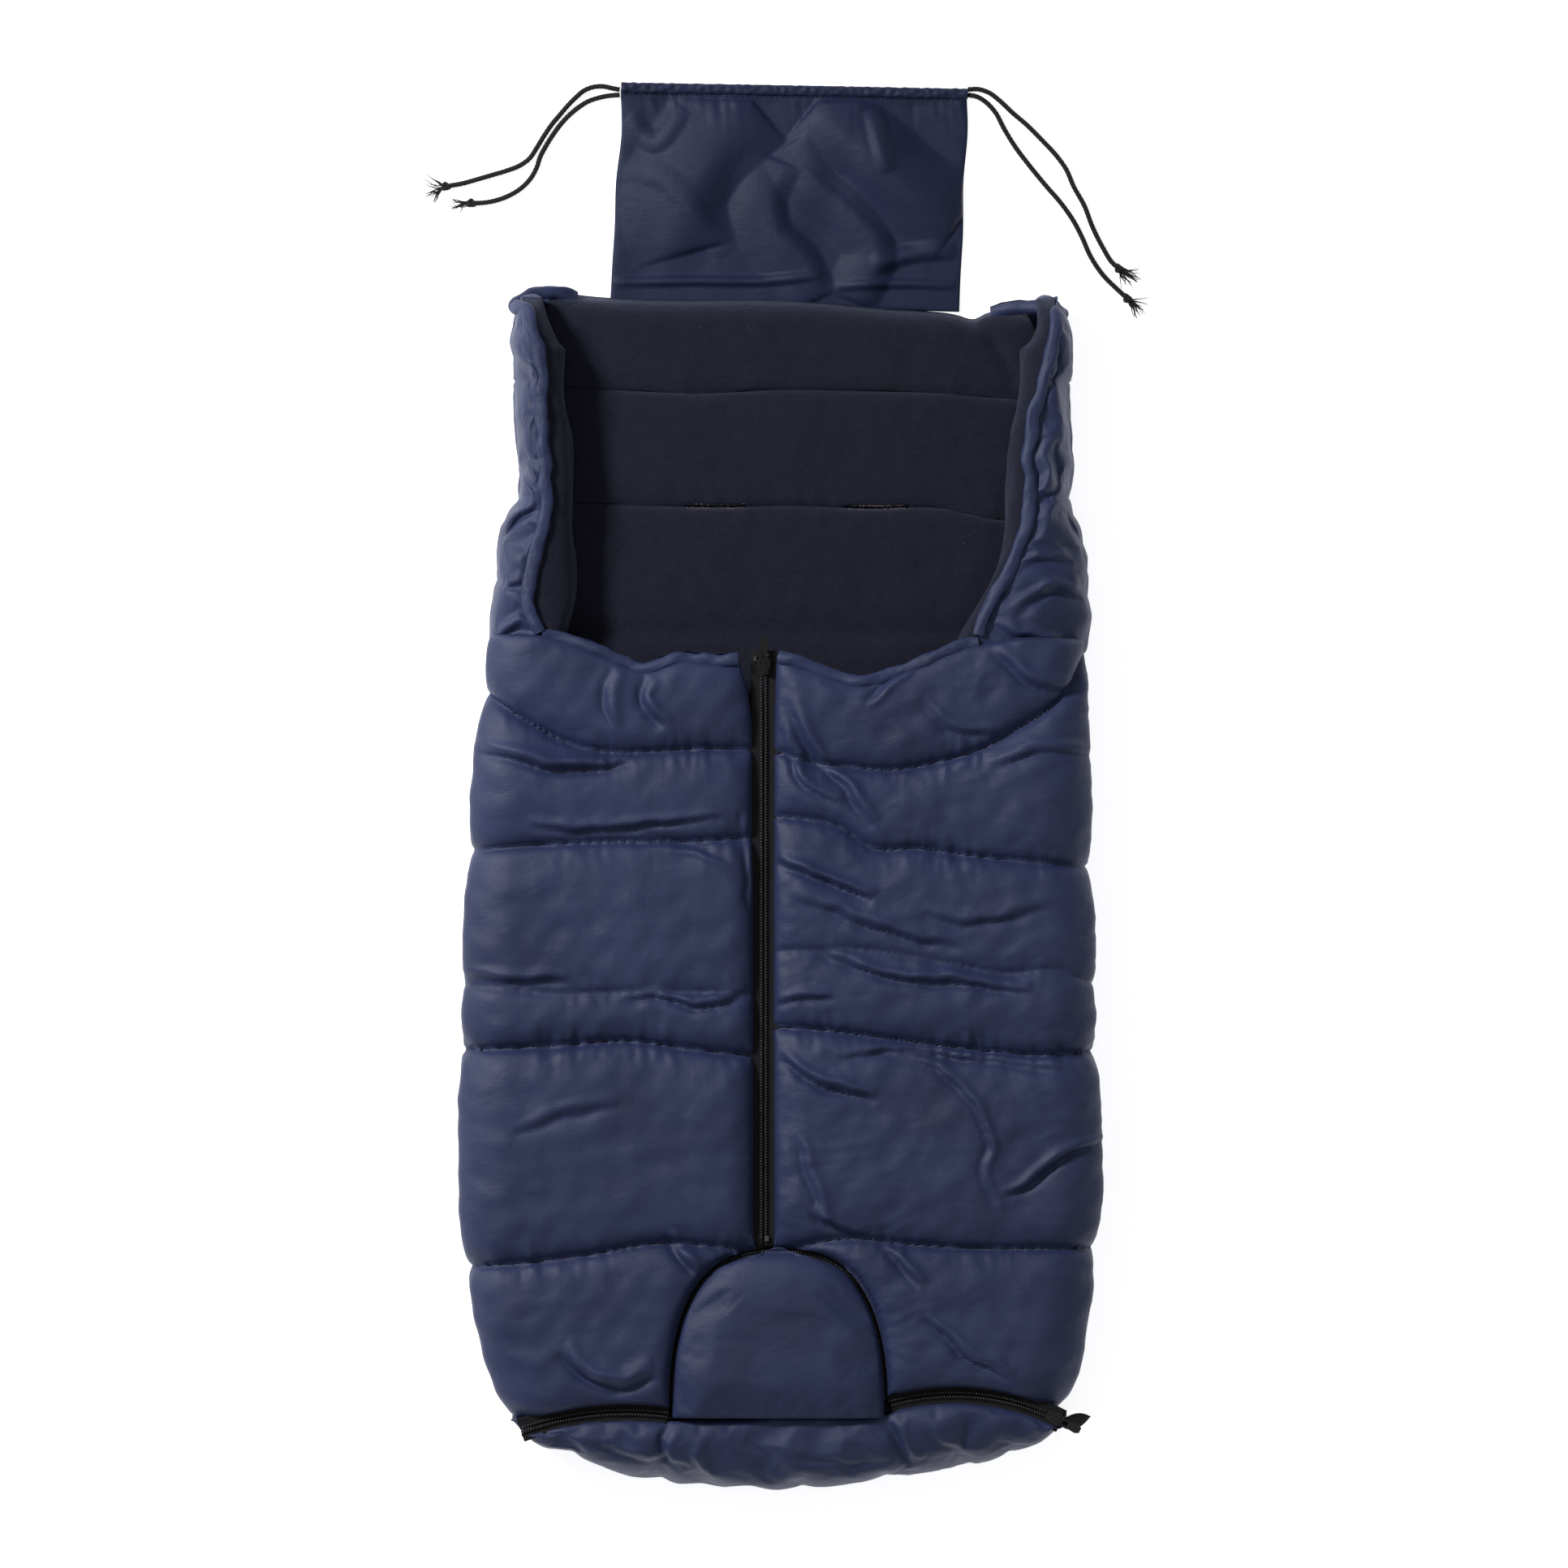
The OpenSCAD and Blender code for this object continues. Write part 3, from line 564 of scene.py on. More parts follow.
def settle(pieces, frames):
    """Cloth simulation of several stuffed covers at once: each is (piece, pinned points, growth,
    pressure, the furthest a point may move in mm)."""
    scene = bpy.context.scene
    before = {}
    for piece, pinned, growth, pressure, _ in pieces:
        before[piece.name] = points_of(piece)
        group = piece.vertex_groups.new(name="sewn")
        group.add([int(i) for i in np.nonzero(pinned)[0]], 1.0, "REPLACE")
        cloth = piece.modifiers.new("puff", "CLOTH")
        settings = cloth.settings
        settings.quality = 5
        settings.mass = 0.12
        settings.tension_stiffness = 25
        settings.compression_stiffness = 18
        settings.shear_stiffness = 6
        settings.bending_stiffness = 0.25
        settings.tension_damping = 8
        settings.compression_damping = 8
        settings.shear_damping = 6
        settings.air_damping = 4
        settings.vertex_group_mass = "sewn"
        settings.shrink_min = -growth
        settings.use_pressure = True
        settings.uniform_pressure_force = pressure
        settings.effector_weights.gravity = 0
        cloth.collision_settings.use_collision = False
        cloth.point_cache.frame_start = 1
        cloth.point_cache.frame_end = frames
    for number in range(1, frames + 1):
        scene.frame_set(number)
    graph = bpy.context.evaluated_depsgraph_get()
    after = {}
    for piece, *_ in pieces:
        shown = piece.evaluated_get(graph)
        co = np.zeros(len(shown.data.vertices) * 3)
        shown.data.vertices.foreach_get("co", co)
        after[piece.name] = co.reshape(-1, 3) / MM
    for piece, _, _, _, furthest in pieces:
        move = after[piece.name] - before[piece.name]
        size = np.linalg.norm(move, axis=1)
        move *= (furthest * np.tanh(size / furthest) / np.maximum(size, 1e-6))[:, None]
        piece.modifiers.remove(piece.modifiers["puff"])
        piece.vertex_groups.clear()
        set_points(piece, before[piece.name] + move)
    scene.frame_set(1)


# ---------------------------------------------------------------- tongue outline and foot zip lines

TONGUE_X = (TONGUE_LOW[0] + TONGUE_HIGH[0]) / 2
TONGUE_FOOT_Y = TONGUE_LOW[1]
TONGUE_HALF = 75.5
TONGUE_RISE = 119.5
TONGUE_SQUARENESS = 2.6
HOLE = 2.4
LEFT_RUN = (-110, -668, 221)
RIGHT_RUN = (124, -598.5, 164)


def tongue_loop(grow, count=60, low=0.0):
    """Points over the tongue from its right foot to its left one, grown outwards by grow mm."""
    turn = np.linspace(low, math.pi - low, count)
    power = 2 / TONGUE_SQUARENESS
    cosine, sine = np.cos(turn), np.sin(turn)
    x = TONGUE_X + (TONGUE_HALF + grow) * np.sign(cosine) * np.abs(cosine) ** power
    y = TONGUE_FOOT_Y + (TONGUE_RISE + grow) * np.abs(sine) ** power
    return np.stack([x, y], axis=1)


def tongue_level(x, y, grow=0.0):
    """Below 1 inside the tongue's outline and above it outside."""
    a = np.abs(x - TONGUE_X) / (TONGUE_HALF + grow)
    b = np.clip(y - TONGUE_FOOT_Y, 0, None) / (TONGUE_RISE + grow)
    return (a**TONGUE_SQUARENESS + b**TONGUE_SQUARENESS) ** (1 / TONGUE_SQUARENESS)


def tongue_bow(v):
    """The tongue's half width at a share of its height, as a share of its greatest."""
    bow = (1 - np.clip(v, 0, 0.999) ** TONGUE_SQUARENESS) ** (1 / TONGUE_SQUARENESS)
    return np.maximum(bow, 0.16)


def run_y(x):
    """Height up the muff of the foot zip's middle, either side of the tongue."""
    x = np.asarray(x, float)
    cx, cy, r = [np.where(x < 0, a, b) for a, b in zip(LEFT_RUN, RIGHT_RUN)]
    return cy + np.sqrt(np.clip(r**2 - (x - cx) ** 2, (0.6 * r) ** 2, None))


# ---------------------------------------------------------------- front covers


def section(edge, inner, top_z, z_inner, side):
    """The cross-section of a cover: from its inner edge over the top, round the side and down.
    Arrays over stations give one row each. Returns x, z, their normals and the run in mm."""
    count = len(edge)
    round_top, round_foot = 30.0, 9.0
    flat_end, top_end, whole = 30, 48, 66
    flat = np.linspace(0, 1, flat_end)
    arc = np.linspace(0, math.pi / 2, top_end - flat_end)
    x = np.zeros((count, whole))
    z = np.zeros((count, whole))
    reach = np.abs(edge - inner)
    shoulder = reach - round_top
    x[:, :flat_end] = shoulder[:, None] * flat
    z[:, :flat_end] = z_inner[:, None] + (top_z - z_inner)[:, None] * np.clip(flat * 6, 0, 1)
    x[:, flat_end:top_end] = shoulder[:, None] + round_top * np.sin(arc)
    z[:, flat_end:top_end] = SIDE_MID_Z + (top_z - SIDE_MID_Z)[:, None] * np.cos(arc)
    x[:, top_end:] = reach[:, None] - round_foot * (1 - np.cos(arc))
    z[:, top_end:] = SIDE_MID_Z - (SIDE_MID_Z - SIDE_FOOT_Z) * np.sin(arc)
    x = inner[:, None] + side * x
    dx, dz = np.gradient(x, axis=1), np.gradient(z, axis=1)
    size = np.hypot(dx, dz) + 1e-9
    nx, nz = -dz / size * side, dx / size * side
    steps = np.hypot(np.diff(x), np.diff(z))
    run = np.concatenate([np.zeros((count, 1)), np.cumsum(steps, axis=1)], axis=1)
    return x, z, nx, nz, run


def pick(rows, columns, run, *tables):
    """Values of each table at a share of its row's run."""
    out = [np.zeros(len(rows)) for _ in tables]
    for row in np.unique(rows):
        here = rows == row
        where = columns[here] * run[row][-1]
        for k, table in enumerate(tables):
            out[k][here] = np.interp(where, run[row], table[row])
    return out


def seam_swell(x, y, seams, reach):
    """How far the filling lifts the cloth: 1 in the open, less beside each seam."""
    lift = np.ones_like(x)
    for seam, strength in zip(seams, SEAM_STRENGTH):
        line = smooth_line(seam)
        slant = np.gradient(line(np.linspace(seam[0][0], seam[-1][0], 9))).mean() / 30
        gap = np.abs(y - line(x)) / np.hypot(1, slant)
        lift *= 1 - strength * (1 - swell(gap, reach))
    return lift


def fold_depth(x, y, folds):
    """Folds in the cloth: each is a groove along a line, with a ridge on the line's left hand."""
    total = np.zeros_like(x)
    x, y = x + 1.3 * hills(x, y, 30, 401), y + 1.3 * hills(x, y, 26, 402)
    for points, width, depth in folds:
        path = smooth_path(points, 2)
        gap, along = distance_to(path, x, y)
        left = np.sign(side_of(path, along, x, y))
        fade = np.sin(np.clip(along, 0, 1) * math.pi) ** 0.5
        groove = np.exp(-gap / (0.42 * width))
        ridge = np.exp(-(((left * gap - 0.9 * width) / (0.6 * width)) ** 2))
        total += 1.9 * depth * fade * (0.75 * ridge - groove)
    return total


def crumple(x, y, seed):
    """Sharp-edged facets, as in cloth that has been folded and smoothed out again."""
    x, y = x + 5 * hills(x, y, 60, seed), y + 5 * hills(x, y, 55, seed + 1)
    broad = 0.3 - np.abs(hills(x * 0.75, y * 1.5, 36, seed + 2))
    return broad + 0.5 * (0.3 - np.abs(hills(x, y * 1.3, 17, seed + 3)))


def gathers(x, y, seams, reach, seed):
    """Short wrinkles that run away from each seam, where the stitching draws the cloth in."""
    total = np.zeros_like(x)
    for k, (seam, strength) in enumerate(zip(seams, SEAM_STRENGTH)):
        line = smooth_line(seam)
        gap = y - line(x)
        size = np.abs(gap)
        wave = hills(x + 0.25 * gap, gap * 0.12 + 50 * k, 13, seed + k)
        wave = wave + 0.6 * hills(x, gap * 0.2 + 50 * k, 6.5, seed + 20 + k)
        patch = np.clip(0.5 + 1.2 * hills(x, 50 * k + 0 * x, 70, seed + 40 + k), 0, 1.4)
        total += strength * wave * patch * (size / 5) * np.exp(1 - size / 5) * np.exp(-size / reach)
    return total


def front_cover(name, side):
    left = side < 0
    edge_line = smooth_line(LEFT_EDGE if left else RIGHT_EDGE)
    zip_line = smooth_line(LEFT_ZIP_EDGE if left else RIGHT_ZIP_EDGE)
    opening = smooth_line(LEFT_OPENING if left else RIGHT_OPENING)
    seams = LEFT_SEAMS if left else RIGHT_SEAMS
    folds = LEFT_FOLDS if left else RIGHT_FOLDS
    columns, rows = 128, 250
    low_y = -462.0

    def place(u, v):
        rows_at = np.rint(v * rows).astype(int)
        stations = low_y + np.linspace(0, 1, rows + 1) * (100 - low_y)
        edge = edge_line(stations) - side * SIDE_PUFF
        inner = zip_line(stations)
        top = np.full(rows + 1, FRONT_BASE_Z)
        x_t, z_t, nx_t, nz_t, run = section(edge, inner, top, np.full(rows + 1, TAPE_Z + 0.4), side)
        x, z, nx, nz = pick(rows_at, u, run, x_t, z_t, nx_t, nz_t)
        on_top = np.clip(nz, 0, 1)
        out = swell(np.clip(np.abs(x) - 26, 0, None), 48)
        bottom = low_y + out * (run_y(x) + 5.5 - low_y)
        top_y = opening(x) - 2.0
        y = bottom + v * (top_y - bottom)
        lift = seam_swell(x, y, seams, 38)
        from_zip = np.abs(x - zip_line(y))
        lift *= 0.12 + 0.88 * swell(from_zip, 24)
        lift = 1 - (1 - lift) * (0.45 + 0.55 * np.clip(on_top / 0.5, 0, 1))
        beside_wall = np.clip((np.abs(x) - 152) / 18, 0, 1)
        under_rim = (1 - beside_wall) * (1 - swell(np.abs(top_y - y), 17)) * 0.95
        lift *= 1 - under_rim - 0.35 * beside_wall * (1 - swell(np.abs(top_y - y), 12))
        run_gap = np.abs(y - run_y(x) - 5.5)
        lift *= 1 - out * 0.8 * (1 - swell(run_gap, 26))
        tongue_gap, _ = distance_to(tongue_loop(HOLE), x, y)
        lift *= 0.1 + 0.9 * swell(tongue_gap, 20)
        height = 0.5 + (FRONT_PUFF - 0.5) * np.clip(on_top / 0.6, 0, 1)
        height = height * lift * (1 + 0.07 * hills(x, y + z, 90, 3 if left else 8))
        height += on_top * fold_depth(x, y, folds) * np.clip(lift * 1.4, 0, 1)
        for seam, strength in zip(seams, SEAM_STRENGTH):
            groove = np.exp(-np.abs(y - smooth_line(seam)(x)) / 2.2)
            height -= 3.0 * strength * groove * (0.4 + 0.6 * on_top)
        height += 0.5 * hills(x, y + z, 26, 5 if left else 9) * np.clip(lift, 0, 1)
        facets = crumple(x, y + 0.5 * z, 501 if left else 521)
        height += (0.3 if left else 0.55) * facets * np.clip(lift * 1.5, 0, 1)
        height += 1.5 * gathers(x, y, seams, 20, 101 if left else 151) * (0.3 + 0.7 * on_top)
        return x + nx * height, y, z + nz * height

    def keep(x, y):
        return (tongue_level(x, y, HOLE) > 1) | (y < TONGUE_FOOT_Y - 20)

    cover = cloth_grid(name, columns, rows, place, NYLON, flip=left, keep=keep)
    points = points_of(cover)
    x, y = points[:, 0], points[:, 1]
    level = tongue_level(x, y, HOLE)
    border = border_of(cover)
    snap = border & (level < 1.12) & (y > TONGUE_FOOT_Y - 2)
    loop = smooth_path(tongue_loop(HOLE), 1.0)
    for i in np.nonzero(snap)[0]:
        points[i, :2] = loop[np.argmin(np.hypot(loop[:, 0] - x[i], loop[:, 1] - y[i]))]
        points[i, 2] = min(points[i, 2], FRONT_BASE_Z + 1)
    set_points(cover, points)
    sewn = border.copy()
    for seam, strength in zip(seams, SEAM_STRENGTH):
        if strength > 0.5:
            sewn |= (np.abs(y - smooth_line(seam)(x)) < 1.6) & (points[:, 2] > 42)
    return cover, sewn


left_cover, left_sewn = front_cover("left_front_cover", -1)
right_cover, right_sewn = front_cover("right_front_cover", 1)

# ---------------------------------------------------------------- walls beside the opening

WALL_TOP_Z = 62.0
LEFT_WALL_FOLDS = [
    ([(-200, 176), (-184, 191), (-172, 197)], 6, 3.2),
    ([(-177, 186), (-171, 172), (-170, 158)], 5, 2.4),
    ([(-200, 106), (-184, 112), (-168, 106)], 6, 3.0),
    ([(-188, 230), (-180, 215), (-170, 205)], 6, 2.4),
    ([(-192, 300), (-182, 290), (-176, 270)], 6, 2.0),
    ([(-205, 150), (-192, 140), (-176, 144)], 6, 2.0),
]
RIGHT_WALL_FOLDS = [
    ([(168, 120), (194, 138), (216, 131)], 6, 3.2),
    ([(146, 112), (168, 106), (202, 98)], 6, 2.6),
    ([(178, 196), (198, 216), (196, 246)], 7, 2.6),
    ([(207, 200), (216, 170), (218, 150)], 6, 2.4),
    ([(184, 270), (196, 290), (198, 316)], 6, 2.2),
    ([(160, 140), (180, 156), (206, 158)], 6, 1.8),
]
LEFT_WALL_FOOT = [
    (90, -158), (112, -152), (135, -146), (160, -146), (185, -149), (215, -148), (250, -150),
    (275, -154), (300, -155), (325, -153), (350, -150),
]
RIGHT_WALL_FOOT = [
    (90, 122), (112, 132), (135, 147), (160, 158), (185, 162), (215, 162), (250, 166),
    (275, 171), (300, 173), (325, 172), (350, 168),
]


def wall_height(y):
    """How high the padded wall stands, falling away at the head end."""
    t = np.clip((y - 318) / (HEAD_Y + 6 - 318), 0, 1)
    return 24 + (WALL_TOP_Z - 24) * np.sqrt(1 - t**2.2)


def wall_cover(name, side):
    left = side < 0
    edge_line = smooth_line(LEFT_EDGE if left else RIGHT_EDGE)
    rim_line = smooth_line(LEFT_WALL_RIM if left else RIGHT_WALL_RIM)
    first = 96.0 if left else 94.0
    columns, rows = 60, 130

    def place(u, v):
        y = first + v * (HEAD_Y + 4 - first)
        outer = edge_line(y) - side * 4
        rim = rim_line(y)
        high = wall_height(y)
        over = np.clip(u / 0.5, 0, 1)
        down = np.clip((u - 0.5) / 0.5, 0, 1)
        bow = np.sin(over * math.pi / 2)
        x = rim + (outer - rim) * bow
        z = SIDE_MID_Z + (high - SIDE_MID_Z) * np.cos(over * math.pi / 2)
        x = x - side * 8 * (1 - np.cos(down * math.pi / 2))
        z = np.where(u > 0.5, SIDE_MID_Z * (1 - np.sin(down * math.pi / 2)) + SIDE_FOOT_Z, z)
        lift = 1 - 0.35 * (1 - swell(np.abs(y - first), 14))
        lift *= 1 - 0.5 * (1 - swell(np.abs(y - 206), 20))
        lift *= 1 - 0.45 * (1 - swell(np.abs(y - 288), 18))
        amount = 5 * lift * np.sin(np.clip(u * 1.25, 0, 1) * math.pi) ** 0.6
        amount += 1.1 * hills(x * 1.6, y, 30, 12 if left else 13) * lift
        x = x + side * amount * 0.8
        z = z + amount * 0.55 * (u < 0.5) - 5 * (1 - swell(np.abs(y - first), 16)) * (1 - u)
        z += fold_depth(x, y, LEFT_WALL_FOLDS if left else RIGHT_WALL_FOLDS) * np.clip(u * 10, 0, 1)
        lumps = hills(x * 0.7 + 0.4 * y, y * 0.9 - 0.3 * x, 26, 14 if left else 15)
        z += 0.8 * lumps * lift * np.clip(u * 10, 0, 1)
        return x, y, z

    return cloth_grid(name, columns, rows, place, NYLON, flip=left)


def wall_fleece(name, side):
    left = side < 0
    rim_line = smooth_line(LEFT_WALL_RIM if left else RIGHT_WALL_RIM)
    foot_line = smooth_line(LEFT_WALL_FOOT if left else RIGHT_WALL_FOOT)
    first = 96.0
    columns, rows = 24, 70

    def place(u, v):
        y = first + v * (HEAD_Y + 3 - first)
        rim = rim_line(y)
        foot = rim + (foot_line(y) - rim) * (1 - 0.6 * swell(np.clip(y - 312, 0, None), 40))
        high = wall_height(y)
        bow = 1 - (1 - u) ** 1.6
        x = rim + (foot - rim) * bow
        z = BACK_TOP - 1 + (high - BACK_TOP + 1) * np.sqrt(np.clip(1 - u**1.7, 0, 1))
        x = x - side * 3.0 * np.sin(u * math.pi) + 0.9 * hills(y, z * 2, 44, 21 if left else 22)
        return x, y, z + 0.7 * hills(x, y, 33, 23)

    return cloth_grid(name, columns, rows, place, FLEECE, flip=not left)


left_wall = wall_cover("left_wall_cover", -1)
right_wall = wall_cover("right_wall_cover", 1)
left_wall_lining = wall_fleece("left_wall_fleece", -1)
right_wall_lining = wall_fleece("right_wall_fleece", 1)

# ---------------------------------------------------------------- back, inside and underneath

FLEECE_SEAM_HIGH = [(-170, 286), (-120, 284), (-60, 281), (0, 284), (60, 283), (120, 281), (175, 276)]
FLEECE_SEAM_LOW = [(-170, 203), (-93, 201), (-46, 200), (10, 201), (70, 199), (104, 200), (159, 190)]
BACK_SEAMS = [110.0, 20.0, -70.0, -160.0, -250.0, -340.0]
SLOTS = [(-45.5, 200.0), (70.5, 199.5)]
SLOT_HALF = 20.5
BOTTOM_EDGE = [
    (-190, -457), (-175, -471), (-151, -479), (-117, -492), (-76, -500), (-24, -503), (23, -502.5),
    (81, -496), (143, -485), (191, -469), (206, -459),
]
BACK_TOP_EDGE = [
    (-200, 330), (-183, 350), (-162, 355), (-142, 352), (-94, 349), (11, 348), (81, 342),
    (127, 338), (140, 335), (148, 339), (165, 341), (191, 338), (205, 330),
]


def back_fleece():
    edge_l, edge_r = smooth_line(LEFT_EDGE), smooth_line(RIGHT_EDGE)
    top_edge = smooth_line(BACK_TOP_EDGE)
    columns, rows = 96, 190
    high, low = smooth_line(FLEECE_SEAM_HIGH), smooth_line(FLEECE_SEAM_LOW)

    def place(u, v):
        y = -446 + v * (HEAD_Y + 446)
        inset = np.interp(y, [80, 130], [15, 22])
        left, right = edge_l(y) + inset, edge_r(y) - inset
        x = left + u * (right - left)
        y = np.where(y > 300, 300 + (y - 300) * (top_edge(x) - 300) / (HEAD_Y - 300), y)
        lift = np.ones_like(x)
        for line in (high, low):
            lift *= 1 - 0.95 * (1 - swell(np.abs(y - line(x)), 26))
        for seam in BACK_SEAMS:
            lift *= 1 - 0.9 * (1 - swell(np.abs(y - seam), 26))
        for line in (high, low):
            gap = y - line(x)
            y = np.where(np.abs(gap) < 22, line(x) + 22 * np.sign(gap) * (np.abs(gap) / 22) ** 1.9, y)
        z = BACK_TOP - 2.5 + 5.5 * lift
        for line in (high, low):
            z -= 2.6 * np.exp(-np.abs(y - line(x)) / 1.5)
        z += 0.9 * gathers(x, y, [FLEECE_SEAM_HIGH, FLEECE_SEAM_LOW], 16, 311)
        end = np.clip((y - (top_edge(x) - 16)) / 16, 0, 1)
        z = 1.5 + (z - 1.5) * np.sqrt(np.clip(1 - end**2, 0, 1))
        z += 0.7 * hills(x, y, 60, 31) * lift * (1 - end) + 0.35 * hills(x, y, 21, 32) * lift
        corner = distance_to(smooth_path([(140, 338), (152, 318), (168, 290)], 5), x, y)[0]
        z -= 6 * np.exp(-corner / 4) * (1 - end)
        corner = distance_to(smooth_path([(116, 330), (138, 312), (158, 300)], 5), x, y)[0]
        z -= 3 * np.exp(-corner / 5) * (1 - end)
        return x, y, z

    def keep(x, y):
        stays = np.ones(len(x), bool)
        for at, _ in SLOTS:
            stays &= ~((np.abs(x - at) < SLOT_HALF) & (np.abs(y - low(x)) < 0.5))
        return stays

    return cloth_grid("back_fleece", columns, rows, place, FLEECE, keep=keep)


def back_cover():
    bottom = smooth_line(BOTTOM_EDGE)
    edge_l, edge_r = smooth_line(LEFT_EDGE), smooth_line(RIGHT_EDGE)
    top_edge = smooth_line(BACK_TOP_EDGE)
    columns, rows = 80, 150

    def place(u, v):
        s = (u - 0.5) * 2
        y = FOOT_Y + 2 + v * (HEAD_Y - FOOT_Y - 2)
        spread = np.sqrt(np.clip(1 - (np.clip(-458 - y, 0, None) / 46) ** 2.2, 0.0, 1))
        left, right = edge_l(y) + 12, edge_r(y) - 12
        x = (left + right) / 2 + s * (right - left) / 2 * spread
        y = np.where(y > 300, 300 + (y - 300) * (top_edge(x) - 1 - 300) / (HEAD_Y - 300), y)
        y = np.maximum(y, bottom(x) + 7)
        lift = np.ones_like(x)
        for seam in [200.0, *BACK_SEAMS, 284.0]:
            lift *= 1 - 0.8 * (1 - swell(np.abs(y - seam), 22))
        rim = np.clip((1 - np.abs(s)) * 12, 0, 1) * np.clip(v * 40, 0, 1) * np.clip((1 - v) * 60, 0, 1)
        z = 3.2 - 2.6 * lift * np.sqrt(rim) + 0.2 * hills(x, y, 40, 41)
        return x, y, np.maximum(z, 0.3)

    return cloth_grid("back_cover", columns, rows, place, NYLON, flip=True)


back_lining = back_fleece()
back_shell = back_cover()


def wall_end(name, cover, lining, cover_columns, lining_columns, head):
    """Closes one end of a padded wall, between its cover and its fleece."""
    pick_row = (lambda points, n: points[-(n + 1):]) if head else (lambda points, n: points[: n + 1])
    outer = pick_row(points_of(cover), cover_columns)
    inner = pick_row(points_of(lining), lining_columns)
    bulge = 3 if head else -3

    def along(line, u):
        run = run_of(line)
        return np.stack([np.interp(u * run[-1], run, line[:, k]) for k in range(3)], axis=1)

    def place(u, v):
        spot = along(outer, u) * (1 - v)[:, None] + along(inner, u) * v[:, None]
        out = bulge * np.sin(v * math.pi) * np.sin(u * math.pi) - 0.3 * np.sign(bulge)
        return spot[:, 0], spot[:, 1] + out, spot[:, 2]

    return cloth_grid(name, 24, 12, place, NYLON)


WALLS = (("left", left_wall, left_wall_lining), ("right", right_wall, right_wall_lining))
wall_ends = [
    wall_end(f"{side}_wall_{end}", wall, lining, 60, 24, end == "head_end")
    for side, wall, lining in WALLS
    for end in ("door_end", "head_end")
]

# ---------------------------------------------------------------- foot end and tongue

TONGUE_SEAM = [(-80, -453), (-40, -452.5), (0, -451), (40, -451), (78, -450)]
FOOT_FOLDS = [
    ([(-78, -452), (-85, -466), (-82, -486)], 7, 3.2),
    ([(76, -450), (83, -463), (93, -482)], 7, 3.2),
    ([(-60, -462), (-64, -474), (-56, -488)], 6, 1.8),
    ([(104, -456), (112, -466), (128, -474)], 6, 1.8),
    ([(-130, -468), (-100, -480), (-60, -486)], 7, 1.6),
    ([(-20, -470), (30, -478), (80, -480)], 7, 1.4),
]


def foot_end():
    bottom = smooth_line(BOTTOM_EDGE)
    seam = smooth_line(TONGUE_SEAM)
    columns, rows = 130, 34

    def place(u, v):
        x = -192 + u * 398
        near = np.clip((np.abs(x - TONGUE_X) - 70) / 14, 0, 1)
        top = seam(x) * (1 - near) + (run_y(x) - 6) * near
        low = bottom(x) + 3.5
        top = np.maximum(top, low + 0.5)
        over = np.clip(v / 0.72, 0, 1)
        under = np.clip((v - 0.72) / 0.28, 0, 1)
        y = top + (low - top) * np.sin(over * math.pi / 2) ** 0.9
        z = 13 + (FRONT_Z - 12) * np.cos(over * math.pi / 2) ** 0.85
        y = y + 6 * (1 - np.cos(under * math.pi / 2))
        z = np.where(v > 0.72, 13 - 12 * np.sin(under * math.pi / 2), z)
        lift = swell(np.abs(y - top), 20)
        for crease in ([(-78, -452), (-83, -470), (-84, -490)], [(74, -451), (80, -462), (88, -478)]):
            gap, _ = distance_to(smooth_path(crease, 5), x, y)
            lift *= 1 - 0.9 * (1 - swell(gap, 17))
        ends = np.clip((x + 192) / 22, 0, 1) * np.clip((206 - x) / 22, 0, 1)
        amount = 6.5 * lift * np.sqrt(ends) * (1 - under)
        amount += 0.9 * hills(x, y * 1.3, 36, 51) * lift * ends
        amount += 0.8 * fold_depth(x, y, FOOT_FOLDS) * ends * (1 - under)
        return x, y - 0.5 * amount, z + 0.75 * amount

    return cloth_grid("foot_end_cover", columns, rows, place, NYLON, flip=True)


def tongue_cover():
    columns, rows = 56, 52

    def place(u, v):
        s = (u - 0.5) * 2
        bow = tongue_bow(v)
        x = TONGUE_X + s * TONGUE_HALF * bow
        y = TONGUE_FOOT_Y + 1 + v * (TONGUE_RISE - 1)
        at_top = np.clip((v - 0.9) * 10, 0, 1)
        y = y + (1 - np.abs(s) ** 2.2) * 6 * at_top - 3 * at_top
        gap, _ = distance_to(tongue_loop(0.5), x, y)
        lift = swell(gap, 28) * (0.25 + 0.75 * swell(np.abs(y - TONGUE_FOOT_Y), 26))
        z = FRONT_Z + 1.2 + 15.5 * lift + 0.7 * hills(x, y, 40, 61) * lift
        return x, y, z

    return cloth_grid("tongue_cover", columns, rows, place, NYLON)


foot_cover = foot_end()
tongue = tongue_cover()


def side_limit(cover, most):
    """How far the simulation may carry each point: less down the sides than on top."""
    return 1.8 + (most - 1.8) * np.clip((points_of(cover)[:, 2] - 44) / 16, 0, 1)


settle(
    [
        (left_cover, left_sewn, 0.035, 1.2, side_limit(left_cover, 7.0)),
        (right_cover, right_sewn, 0.04, 1.2, side_limit(right_cover, 8.0)),
        (foot_cover, border_of(foot_cover), 0.03, 1.0, 5.0),
        (tongue, border_of(tongue), 0.012, 1.0, 4.0),
        (left_wall, border_of(left_wall), 0.035, 1.0, 5.0),
        (right_wall, border_of(right_wall), 0.035, 1.0, 5.0),
    ],
    26,
)

COVER_THICK = 0.8
THIN_COVER = 0.6
FLEECE_THICK = 1.5
LINING_THICK = 1.2
FLOOR_GAP = 0.9
for cover in (left_cover, right_cover, left_wall, right_wall, foot_cover, *wall_ends):
    above_floor = points_of(cover)
    above_floor[:, 2] = np.maximum(above_floor[:, 2], FLOOR_GAP)
    set_points(cover, above_floor)

